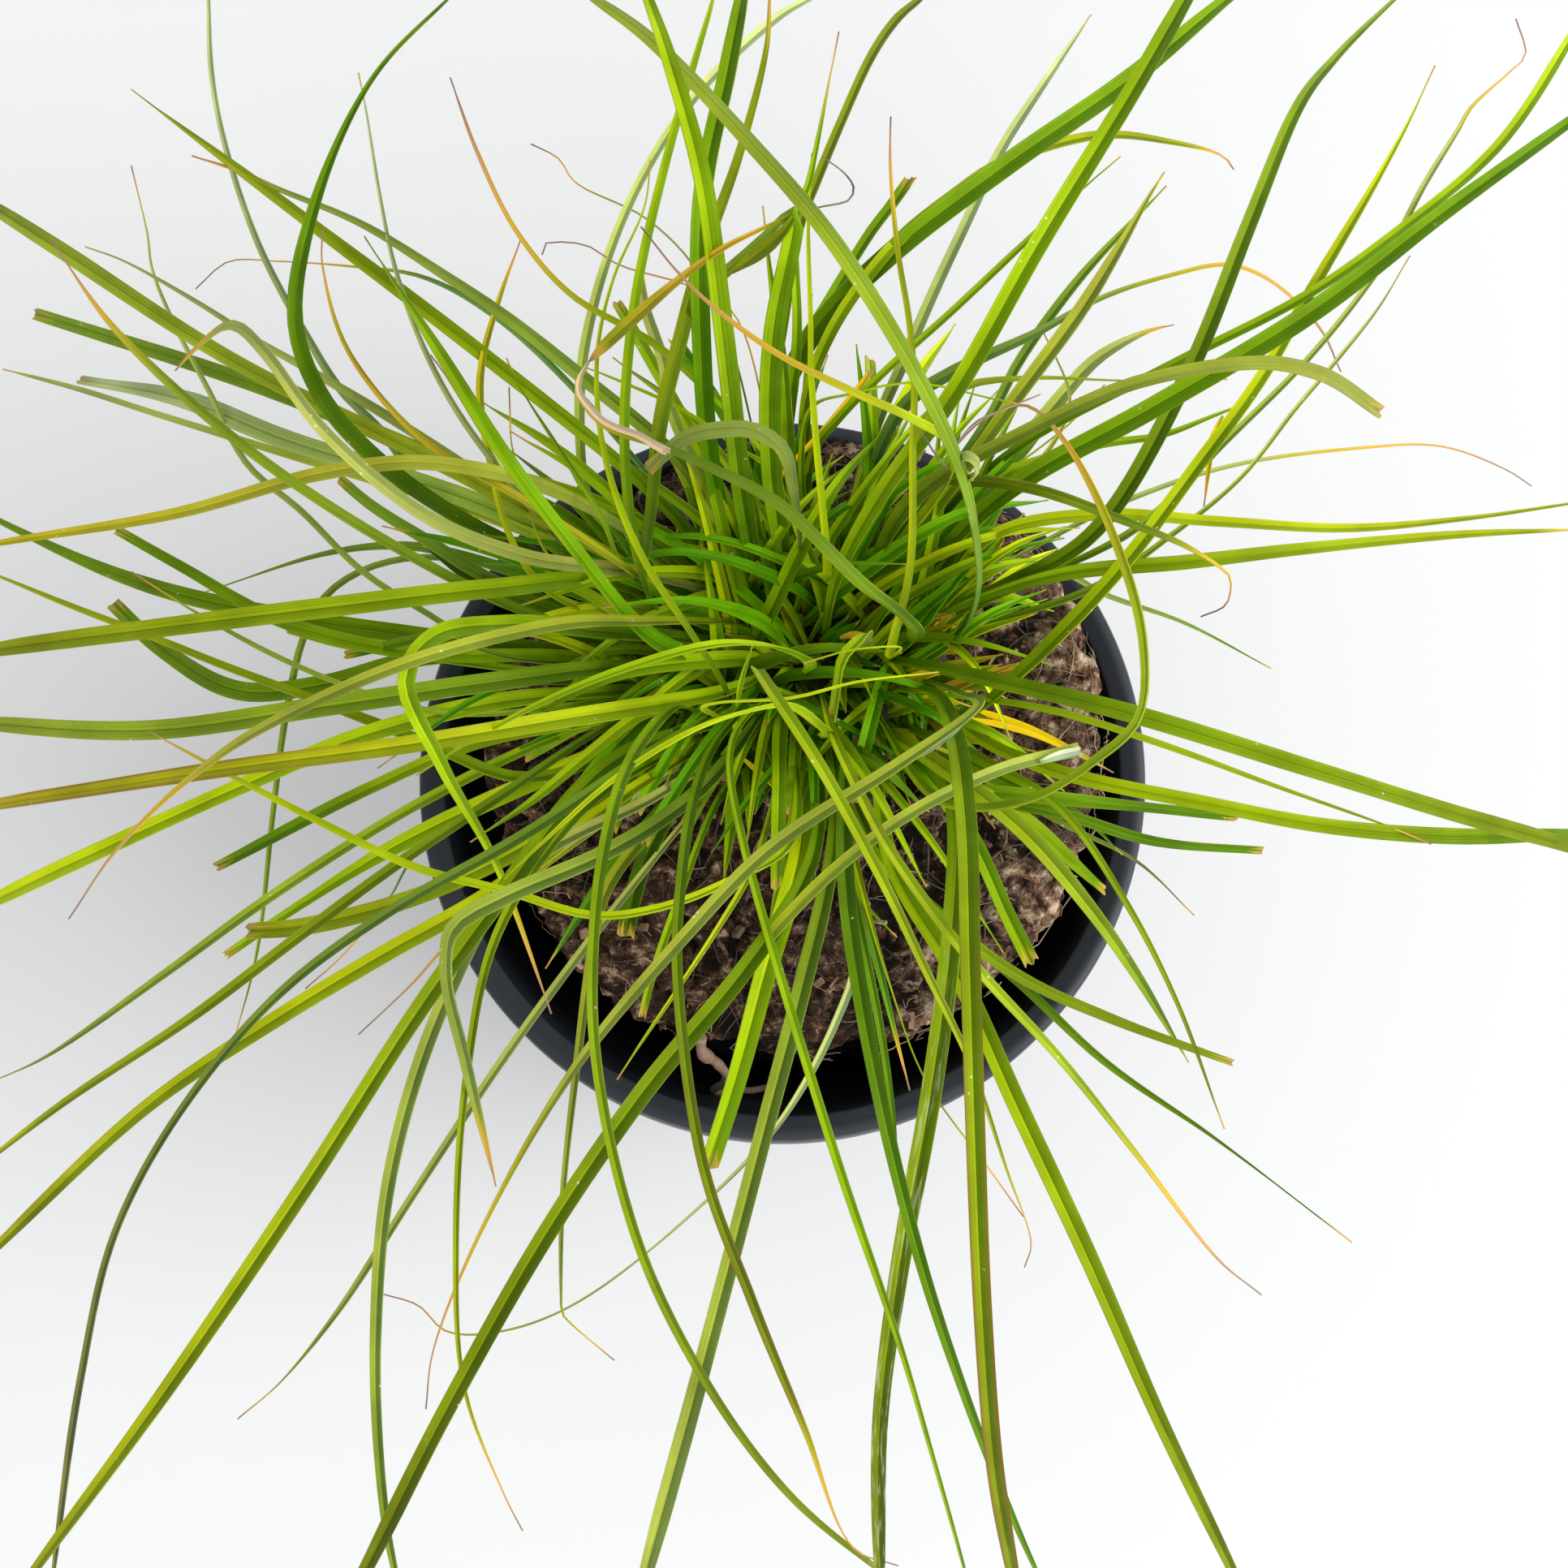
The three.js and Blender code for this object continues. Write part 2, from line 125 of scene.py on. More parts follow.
def apply_modifier(obj, kind, **settings):
    only(obj)
    bpy.ops.object.modifier_add(type=kind)
    modifier = obj.modifiers[-1]
    for key, value in settings.items():
        setattr(modifier, key, value)
    bpy.ops.object.modifier_apply(modifier=modifier.name)


def finished(obj, slot, *materials, replaces=(), smooth=180):
    """Gives a piece its finish and its place in the frame."""
    obj.data.materials.clear()
    for material in materials:
        obj.data.materials.append(material)
    only(obj)
    bpy.ops.object.shade_smooth_by_angle(angle=math.radians(smooth))
    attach(obj, "root")
    if replaces:
        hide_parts(*replaces)
    return obj


# ---- node helpers ----
def new_finish(name):
    material = bpy.data.materials.new(name)
    material.use_nodes = True
    return material, material.node_tree, material.node_tree.nodes["Principled BSDF"]


def node(tree, kind, sockets=None, **settings):
    made = tree.nodes.new(kind)
    for key, value in settings.items():
        setattr(made, key, value)
    for key, value in (sockets or {}).items():
        if isinstance(value, bpy.types.NodeSocket):
            tree.links.new(value, made.inputs[key])
        else:
            made.inputs[key].default_value = value
    return made


def calc(tree, operation, a, b=0.0, c=0.0):
    return node(tree, "ShaderNodeMath", {0: a, 1: b, 2: c}, operation=operation).outputs[0]


def product(tree, a, b):
    return calc(tree, "MULTIPLY", a, b)


def ranged(tree, value, low, high, to_low=0.0, to_high=1.0):
    sockets = {"Value": value, "From Min": low, "From Max": high, "To Min": to_low, "To Max": to_high}
    made = node(tree, "ShaderNodeMapRange", sockets, interpolation_type="SMOOTHSTEP")
    return made.outputs[0]


def mixed(tree, factor, a, b, blend="MIX"):
    """Colour a with colour b laid over it; b is a socket or a plain colour."""
    if isinstance(b, tuple):
        b = (*b, 1)
    made = node(tree, "ShaderNodeMix", {0: factor, 6: a, 7: b}, data_type="RGBA", blend_type=blend)
    return made.outputs[2]


def colours(tree, factor, *stops):
    made = node(tree, "ShaderNodeValToRGB", {0: factor})
    ramp = made.color_ramp
    ramp.elements[0].position, ramp.elements[0].color = stops[0][0], (*stops[0][1], 1)
    ramp.elements[1].position, ramp.elements[1].color = stops[-1][0], (*stops[-1][1], 1)
    for place, colour in stops[1:-1]:
        ramp.elements.new(place).color = (*colour, 1)
    return made.outputs[0]


def grain(tree, where, scale, detail=3.0, roughness=0.5, stretch=None):
    if stretch:
        where = node(tree, "ShaderNodeMapping", {"Vector": where, "Scale": stretch}).outputs[0]
    sockets = {"Vector": where, "Scale": scale, "Detail": detail, "Roughness": roughness}
    return node(tree, "ShaderNodeTexNoise", sockets).outputs[0]


def raised(tree, height, strength, distance, below=None):
    sockets = {"Height": height, "Strength": strength, "Distance": distance}
    if below:
        sockets["Normal"] = below
    return node(tree, "ShaderNodeBump", sockets).outputs[0]


def place(tree):
    return node(tree, "ShaderNodeTexCoord").outputs["Object"]


def attribute(tree, name):
    return node(tree, "ShaderNodeAttribute", attribute_name=name).outputs


# ---- leaf material ----
LEAF_GREENS = {
    "bright": (0.50, 0.62, 0.004),
    "spring": (0.150, 0.400, 0.002),
    "vivid": (0.085, 0.270, 0.002),
    "emerald": (0.045, 0.150, 0.002),
    "lime": (0.33, 0.50, 0.003),
    "fresh": (0.27, 0.43, 0.003),
    "grass": (0.215, 0.365, 0.002),
    "green": (0.160, 0.285, 0.002),
    "dim": (0.120, 0.235, 0.002),
    "deep": (0.085, 0.190, 0.002),
    "dusk": (0.055, 0.125, 0.003),
    "moss": (0.150, 0.200, 0.004),
    "olive": (0.270, 0.320, 0.006),
    "gold": (0.44, 0.38, 0.010),
    "fern": (0.190, 0.300, 0.022),
    "sage": (0.240, 0.320, 0.050),
    "ash": (0.130, 0.140, 0.045),
    "blue": (0.125, 0.260, 0.055),
    "khaki": (0.310, 0.340, 0.045),
    "meadow": (0.320, 0.420, 0.028),
    "pale": (0.38, 0.43, 0.11),
    "mist": (0.50, 0.60, 0.25),
    "yellow": (0.82, 0.55, 0.004),
    "straw": (0.62, 0.38, 0.03),
    "husk": (0.74, 0.56, 0.36),
    "reed": (0.34, 0.43, 0.075),
    # painted highlight colour for the pale strips laid over leaves
    "frost": (0.50, 0.58, 0.38),
}

UNDERSIDE = (0.26, 0.36, 0.02)
# painted shade for the crease of the midrib groove
GROOVE_SHADE = (0.05, 0.10, 0.004)
RIDGE = (0.38, 0.50, 0.008)
GOLD_EDGE = (0.46, 0.42, 0.02)
YELLOW_FOOT = (0.17, 0.37, 0.004)
RUST = (0.24, 0.10, 0.015)
# painted sheen: the pale colour of a highlight streak on a leaf marked +sheen
PAINTED_SHEEN = (0.50, 0.56, 0.30)
SPECK = (0.72, 0.74, 0.55)
DRY_TIP = (
    (0.0, (0.52, 0.47, 0.02)), (0.34, (0.78, 0.47, 0.05)), (0.62, (0.66, 0.37, 0.12)),
    (0.84, (0.42, 0.24, 0.14)), (1.0, (0.30, 0.20, 0.17)),
)
RIB_WAVES = 88.0  # radians across the whole leaf
RIB_DEPTH = 0.11
LEAST_DRY = 0.004
CUT_AGE = 0.5  # a cut end dries to tan, a long dry tip on to brown
SPECK_SCALE = 420.0
LEAF_GLOSS = 0.06


def leaf_shades(tree, across_uv, veins, mottle):
    """Light and dark along the ribs and in patches, as a grey to multiply with."""
    wave = calc(tree, "ADD", product(tree, across_uv, RIB_WAVES), product(tree, mottle, 3.0))
    ribs = calc(tree, "SINE", wave)
    along_veins = ranged(tree, veins, 0.3, 0.7, 0.8, 1.2)
    in_patches = ranged(tree, mottle, 0.3, 0.7, 0.84, 1.16)
    on_ribs = calc(tree, "MULTIPLY_ADD", ribs, RIB_DEPTH, 1.0)
    shade = product(tree, product(tree, along_veins, in_patches), on_ribs)
    return node(tree, "ShaderNodeCombineXYZ", {0: shade, 1: shade, 2: shade}).outputs[0]


def leaf_profile(tree, green, across, along, mottle):
    """Painted shade in the midrib groove, pale ridges beside it, gold edges and a yellow foot."""
    # painted shade: the narrow groove along the midrib is darkened
    green = mixed(tree, ranged(tree, across, 0.02, 0.09, 0.4, 0.0), green, GROOVE_SHADE)
    beside = calc(tree, "ABSOLUTE", calc(tree, "SUBTRACT", across, 0.17))
    green = mixed(tree, ranged(tree, beside, 0.02, 0.09, 0.2, 0.0), green, RIDGE)
    edge = product(tree, ranged(tree, across, 0.9, 1.0), ranged(tree, mottle, 0.4, 0.62, 0.0, 0.3))
    green = mixed(tree, edge, green, GOLD_EDGE)
    return mixed(tree, ranged(tree, along, 0.0, 0.16, 0.5, 0.0), green, YELLOW_FOOT)


def leaf_wear(tree, green, uv, across, along):
    """Rusty edges where the leaf_wear attribute is 1, a painted sheen, pale in patches, where it is -1."""
    wear_and_sheen = attribute(tree, "leaf_wear")["Fac"]
    rust = product(tree, ranged(tree, across, 0.5, 0.95), ranged(tree, along, 0.35, 0.7, 0.0, 0.65))
    green = mixed(tree, product(tree, rust, wear_and_sheen), green, RUST)
    # painted sheen: pale streaks from about a third of the way along the leaf
    sheen_patches = ranged(tree, grain(tree, uv, 1.0, 3.0, 0.6, stretch=(5, 22, 1)), 0.5, 0.66, 0.0, -0.6)
    glaze = product(tree, sheen_patches, ranged(tree, along, 0.3, 0.55))
    return mixed(tree, product(tree, glaze, wear_and_sheen), green, PAINTED_SHEEN)


def leaf_tip(tree, green, along, dry_share, veins):
    """The end of the leaf turns gold, then tan and brown, over the dry share of its length."""
    dry = calc(tree, "MAXIMUM", dry_share, LEAST_DRY)
    reach = calc(tree, "ADD", along, ranged(tree, veins, 0.3, 0.7, -0.03, 0.03))
    dried_tip_and_lit_peat = calc(tree, "DIVIDE", calc(tree, "ADD", calc(tree, "SUBTRACT", reach, 1.0), dry), dry)
    aged = product(tree, dried_tip_and_lit_peat, ranged(tree, dry_share, 0.01, 0.08, CUT_AGE, 1.0))
    tip = colours(tree, aged, *DRY_TIP)
    return mixed(tree, ranged(tree, dried_tip_and_lit_peat, -0.4, 0.25), green, tip)


def leaf_finish(name, underside):
    """Green blade with parallel veins, a midrib and a tip that dries out.
    The leaf_color attribute holds each leaf's own green with painted light, brighter on the half that faces
    the key light, and the dry share of its length as alpha."""
    material, tree, shader = new_finish(name)
    uv = node(tree, "ShaderNodeUVMap").outputs[0]
    across_uv, along = node(tree, "ShaderNodeSeparateXYZ", {0: uv}).outputs[:2]
    across = calc(tree, "ABSOLUTE", calc(tree, "MULTIPLY_ADD", across_uv, 2.0, -1.0))
    # each leaf's own green with painted light on the half that faces the key light, and its dry share as
    # alpha
    own = attribute(tree, "leaf_color")
    veins = grain(tree, uv, 1.0, 2.0, 0.6, stretch=(26, 2.5, 1))
    mottle = grain(tree, place(tree), 70, 3.0)

    green = mixed(tree, 1.0, own["Color"], leaf_shades(tree, across_uv, veins, mottle), "MULTIPLY")
    if underside:
        green = mixed(tree, 0.15, green, UNDERSIDE)
    green = leaf_profile(tree, green, across, along, mottle)
    green = leaf_wear(tree, green, uv, across, along)
    skin = leaf_tip(tree, green, along, own["Alpha"], veins)
    cells = node(tree, "ShaderNodeTexVoronoi", {"Vector": place(tree), "Scale": SPECK_SCALE})
    specks = ranged(tree, cells.outputs["Distance"], 0.05, 0.12, 1.0, 0.0)
    in_patches = ranged(tree, mottle, 0.56, 0.64, 0.0, 0.8)
    skin = mixed(tree, product(tree, specks, in_patches), skin, SPECK)

    tree.links.new(skin, shader.inputs["Base Color"])
    tree.links.new(ranged(tree, veins, 0.3, 0.7, 0.4, 0.58), shader.inputs["Roughness"])
    shader.inputs["Specular IOR Level"].default_value = LEAF_GLOSS
    tree.links.new(raised(tree, veins, 0.35, 0.00012), shader.inputs["Normal"])
    return material


# ---- peat, root, fibre and plastic ----
DAMP_PEAT = ((0.41, (0.005, 0.003, 0.002)), (0.50, (0.048, 0.024, 0.014)),
             (0.57, (0.170, 0.094, 0.057)), (0.65, (0.60, 0.43, 0.29)))
# painted light: the paler peat on the side that faces the key light
PEAT_LIT_SIDE = ((0.38, (0.014, 0.007, 0.004)), (0.46, (0.125, 0.066, 0.040)),
              (0.53, (0.330, 0.195, 0.120)), (0.62, (0.77, 0.59, 0.42)))
PEAT_PATCH = (0.085, 0.045, 0.028)
PEAT_THREAD = (0.36, 0.26, 0.18)
# painted shade for the deep places of the soil relief
PEAT_HOLLOW_SHADE = (0.006, 0.004, 0.003)
PLASTIC_BLACK = (0.0115, 0.0150, 0.0235)
PLASTIC_CLOUD = (0.019, 0.0245, 0.0365)
PLASTIC_SCUFF = (0.045, 0.05, 0.062)


def peat_finish():
    """Dark fibrous peat, paler on its crumbs, with painted light: paler on the right, the side the key light
    is on.
    The hollow_shade attribute paints shade on what lies deep."""
    material, tree, shader = new_finish("peat")
    where = place(tree)
    crumbs = grain(tree, where, 300, 6.0, 0.7)
    patches = grain(tree, where, 60, 4.0)
    threads = grain(tree, where, 150, 4.0, 0.6, stretch=(1, 5, 2))
    hollow_shade = attribute(tree, "hollow_shade")["Fac"]
    side = node(tree, "ShaderNodeSeparateXYZ", {0: where}).outputs[0]
    # painted light: towards +x, the side of the key light, the peat turns to the paler ramp
    toward_light = calc(tree, "ADD", side, ranged(tree, patches, 0.3, 0.7, -0.012, 0.012))
    damp = colours(tree, crumbs, *DAMP_PEAT)
    dried_tip_and_lit_peat = colours(tree, crumbs, *PEAT_LIT_SIDE)
    brown = mixed(tree, ranged(tree, toward_light, 0.008, 0.036, 0.0, 0.85), damp, dried_tip_and_lit_peat)
    brown = mixed(tree, ranged(tree, patches, 0.42, 0.6, 0.0, 0.3), brown, PEAT_PATCH)
    brown = mixed(tree, ranged(tree, threads, 0.62, 0.68, 0.0, 0.7), brown, PEAT_THREAD)
    # painted shade: deep places in the relief are darkened
    brown = mixed(tree, ranged(tree, hollow_shade, 0.25, 0.85, 0.0, 0.93), brown, PEAT_HOLLOW_SHADE)
    tree.links.new(brown, shader.inputs["Base Color"])
    shader.inputs["Roughness"].default_value = 0.95
    shader.inputs["Specular IOR Level"].default_value = 0.15
    bumps = raised(tree, crumbs, 1.0, 0.0016)
    tree.links.new(raised(tree, threads, 0.6, 0.0008, bumps), shader.inputs["Normal"])
    return material


def fibre_finish(name, dark, light, scale=180):
    """Woody skin from dark to light, in fine spots and wide patches."""
    material, tree, shader = new_finish(name)
    where = place(tree)
    spots = grain(tree, where, scale, 4.0, 0.6)
    wide = grain(tree, where, scale * 0.12, 2.0)
    both = calc(tree, "ADD", product(tree, spots, 0.5), product(tree, wide, 0.5))
    tree.links.new(colours(tree, both, (0.38, dark), (0.62, light)), shader.inputs["Base Color"])
    shader.inputs["Roughness"].default_value = 0.85
    tree.links.new(raised(tree, spots, 0.6, 0.0003), shader.inputs["Normal"])
    return material


def plastic_finish():
    """Satin black plastic, a little cloudy, with faint upright scuffs."""
    material, tree, shader = new_finish("pot plastic")
    where = place(tree)
    fine = grain(tree, where, 900, 2.0)
    cloudy = grain(tree, where, 26, 4.0)
    scuffs = grain(tree, where, 90, 5.0, 0.7, stretch=(1, 1, 9))
    skin = mixed(tree, ranged(tree, cloudy, 0.35, 0.7), (*PLASTIC_BLACK, 1), PLASTIC_CLOUD)
    skin = mixed(tree, ranged(tree, scuffs, 0.6, 0.75, 0.0, 0.4), skin, PLASTIC_SCUFF)
    tree.links.new(skin, shader.inputs["Base Color"])
    tree.links.new(ranged(tree, cloudy, 0.3, 0.7, 0.42, 0.58), shader.inputs["Roughness"])
    tree.links.new(raised(tree, fine, 0.12, 0.0002), shader.inputs["Normal"])
    return material


LEAF_TOP = leaf_finish("leaf upper side", False)
LEAF_UNDER = leaf_finish("leaf underside", True)
PEAT = peat_finish()
PLASTIC = plastic_finish()
ROOT_SKIN = fibre_finish("root skin", (0.13, 0.068, 0.042), (0.42, 0.28, 0.19))
PALE_FIBRE = fibre_finish("pale fibre", (0.12, 0.072, 0.044), (0.50, 0.37, 0.25))
DARK_FIBRE = fibre_finish("dark fibre", (0.020, 0.012, 0.008), (0.15, 0.095, 0.062))
BARK = fibre_finish("bark chip", (0.030, 0.016, 0.010), (0.34, 0.21, 0.125), 260)
# litter darkened to near-black: painted shade inside the crown
LITTER_AND_SHADE = fibre_finish("crown litter and shade", (0.012, 0.016, 0.002), (0.09, 0.09, 0.012), 150)


# ---- leaves ----
LEAF_COLUMNS = (-1.0, -0.6, -0.14, 0.0, 0.14, 0.6, 1.0)
LEAF_LIFTS = (0.86, 0.64, 0.30, 0.0, 0.30, 0.64, 0.86)
LEAF_THICKNESS = 0.26
WIDTH_STATIONS = (0.3, 0.55, 0.78, 0.92)
EVEN_TAPER = {"fine": (1.0, 0.86, 0.49, 0.23), "cut": (0.97, 0.95, 0.92, 0.91), "torn": (1.0, 1.0, 1.0, 1.0)}
TIP_WIDTH = {"fine": 0.08, "long": 0.45, "cut": 0.95, "torn": 1.1}
FOOT_WIDTH = 0.66
CUT_EDGE = 1.5  # how far back a cut end has browned
KEY_SIDE = np.array((0.88, -0.3, 0.25))  # where the key light comes from, for the painted light on the leaves
PAINTED_LIT_HALF = 0.3  # painted light: how much brighter the half of a folded leaf is that faces it
# painted light: the half that faces the key light is also warmer, with less blue
PAINTED_LIT_WARMTH = np.array((0.12, 0.0, -0.2))
# +rust gives real rusty edges, +sheen a painted sheen
WEAR_AND_SHEEN = {"rust": 1.0, "glaze": -1.0}
STATION_STEP = 2.6
CURVE_STEPS = 16
FEWEST_STATIONS = 6
LEVEL_PULL = 0.12  # how fast a leaf turns back to level on its way


def smooth_course(points, step):
    """Evenly spaced places on a smooth curve through the points."""
    pts = [np.array(p) for p in points]
    pts = [2 * pts[0] - pts[1], *pts, 2 * pts[-1] - pts[-2]]
    track = []
    for p0, p1, p2, p3 in zip(pts, pts[1:], pts[2:], pts[3:]):
        d0, d1, d2 = (max(np.linalg.norm(b - a), 1e-4) ** 0.5 for a, b in ((p0, p1), (p1, p2), (p2, p3)))
        t1 = ((p1 - p0) / d0 - (p2 - p0) / (d0 + d1) + (p2 - p1) / d1) * d1
        t2 = ((p2 - p1) / d1 - (p3 - p1) / (d1 + d2) + (p3 - p2) / d2) * d1
        for k in range(CURVE_STEPS):
            t = k / CURVE_STEPS
            track.append((2 * t**3 - 3 * t**2 + 1) * p1 + (t**3 - 2 * t**2 + t) * t1
                         + (3 * t**2 - 2 * t**3) * p2 + (t**3 - t**2) * t2)
    track = np.array([*track, pts[-2]])
    lengths = np.concatenate([[0], np.cumsum(np.linalg.norm(np.diff(track, axis=0), axis=1))])
    count = max(FEWEST_STATIONS, round(lengths[-1] / step))
    shares = np.linspace(0, lengths[-1], count + 1)
    return np.stack([np.interp(shares, lengths, track[:, k]) for k in range(3)], axis=1)


def leaf_frames(track):
    """The direction across the leaf at each station, carried along and kept nearly level."""
    along = np.gradient(track, axis=0)
    along /= np.linalg.norm(along, axis=1)[:, None]
    across = np.cross((0, 0, 1), along[0] + np.array((1e-6, 0, 0)))
    rows = []
    for direction in along:
        level = np.cross((0, 0, 1), direction)
        if np.dot(level, across) < 0:
            level = -level
        across = across / np.linalg.norm(across) + LEVEL_PULL * level
        across -= np.dot(across, direction) * direction
        across /= np.linalg.norm(across)
        rows.append(across)
    return along, np.array(rows)


def half_widths(share, widths, tip):
    """Half the width of a leaf at each station, narrower at its foot."""
    if not isinstance(widths, tuple):
        widths = [widths * part for part in EVEN_TAPER[tip]]
    known = [widths[0] * FOOT_WIDTH, *widths, widths[-1] * TIP_WIDTH[tip]]
    places = (0.0, *WIDTH_STATIONS, 1.0)
    soft = np.clip((1 - share) * 0.8, 0.0, 0.06)
    return sum(np.interp(share + soft * k, places, known) for k in (-1, 0, 1)) / 6


def leaf_grid(name, rows):
    """A flat grid with the row and column of each of its points."""
    columns = len(LEAF_COLUMNS)
    bpy.ops.mesh.primitive_grid_add(x_subdivisions=columns - 1, y_subdivisions=rows - 1, size=1)
    leaf = named(name)
    flat = np.zeros(len(leaf.data.vertices) * 3)
    leaf.data.vertices.foreach_get("co", flat)
    flat = flat.reshape(-1, 3)
    row = np.rint((flat[:, 1] + 0.5) * (rows - 1)).astype(int)
    column = np.rint((flat[:, 0] + 0.5) * (columns - 1)).astype(int)
    return leaf, row, column


def lay_out_veins(mesh, across, along):
    """Puts the map of a leaf straight: across it from 0 to 1, and along it by its share of the length."""
    corner = np.zeros(len(mesh.loops), dtype=int)
    mesh.loops.foreach_get("vertex_index", corner)
    uv = np.stack([(across[corner] + 1) / 2, along[corner]], axis=1)
    mesh.uv_layers[0].uv.foreach_set("vector", uv.ravel())
    mesh.uv_layers[0].name = "UVMap"


def tint_leaf(mesh, look, vary, along, lit, dry):
    """Writes each point's own green, which may fade to a second one, with painted light: brighter and warmer
    on the half that faces the key light.
    """
    greens, _, wear_and_sheen = look.partition("+")
    near, _, far = greens.partition(">")
    fade = np.clip((along - 0.15) / 0.7, 0, 1)[:, None]
    tints = np.array(LEAF_GREENS[near]) * (1 - fade) + np.array(LEAF_GREENS[far or near]) * fade
    # painted light: brighter and warmer on the half of the fold that faces the key light
    tints = tints * (vary * (1 + PAINTED_LIT_HALF * lit)[:, None]) * (1 + np.outer(lit, PAINTED_LIT_WARMTH))
    wear_and_sheen_layer = mesh.attributes.new("leaf_wear", "FLOAT", "POINT")
    wear_and_sheen_layer.data.foreach_set("value", np.full(len(tints), WEAR_AND_SHEEN.get(wear_and_sheen, 0.0)))
    tint = mesh.attributes.new("leaf_color", "FLOAT_COLOR", "POINT")
    tint.data.foreach_set("color", np.column_stack([tints, np.full(len(tints), dry)]).ravel())


def leaf_strip(name, course, width, look, dry, tip="fine", fold=30, step=STATION_STEP):
    """One leaf as a strip of quads: folded along its midrib, tight at the foot, tapering to its tip."""
    rng = random.Random(name)
    track = smooth_course(course, step)
    along, across = leaf_frames(track)
    rows = len(track)
    share = np.linspace(0, 1, rows)
    if tip == "cut":
        dry = CUT_EDGE / (rows * step)
    half = half_widths(share, width, tip)
    half = half * (1 + 0.04 * np.sin(share * rng.uniform(9, 16) + rng.uniform(0, 6)))
    angle = math.radians(fold) * (1 + 0.9 * np.clip(1 - share / 0.3, 0, 1))
    turn = math.radians(rng.uniform(-24, 24)) * share
    turn = turn + math.radians(rng.uniform(-14, 14)) * np.sin(share * rng.uniform(4, 8))
    up = np.cross(along, across)
    side = across * np.cos(turn)[:, None] + up * np.sin(turn)[:, None]
    up = np.cross(along, side)

    leaf, row, column = leaf_grid(name, rows)
    u = np.array(LEAF_COLUMNS)[column]
    spread = (half * np.cos(angle))[row] * u / math.cos(math.radians(fold))
    rise = (half * np.sin(angle))[row] * np.array(LEAF_LIFTS)[column]
    places = track[row] + side[row] * spread[:, None] + up[row] * rise[:, None]
    if tip in ("cut", "torn"):
        ragged = np.array([rng.uniform(-0.7, 0.5) for _ in LEAF_COLUMNS])[column] * (row == rows - 1)
        places += along[row] * ragged[:, None]
    leaf.data.vertices.foreach_set("co", (places * MM).ravel())
    lay_out_veins(leaf.data, u, share[row])
    # painted light: positive on the half of the fold that faces the key light, negative on the other
    lit = -np.sign(u) * (side[row] @ KEY_SIDE)
    tint_leaf(leaf.data, look, rng.uniform(0.85, 1.15), share[row], lit, dry)
    leaf.data.update()
    return leaf


def leaves_piece(name, strips, slot="leaf", replaces=()):
    """Joins strips to one piece and gives them their thickness and finish."""
    leaves = joined(name, strips)
    apply_modifier(
        leaves, "SOLIDIFY", thickness=LEAF_THICKNESS * MM, offset=-1, material_offset=1, use_rim=True)
    finished(leaves, slot, LEAF_TOP, LEAF_UNDER, replaces=replaces, smooth=60)
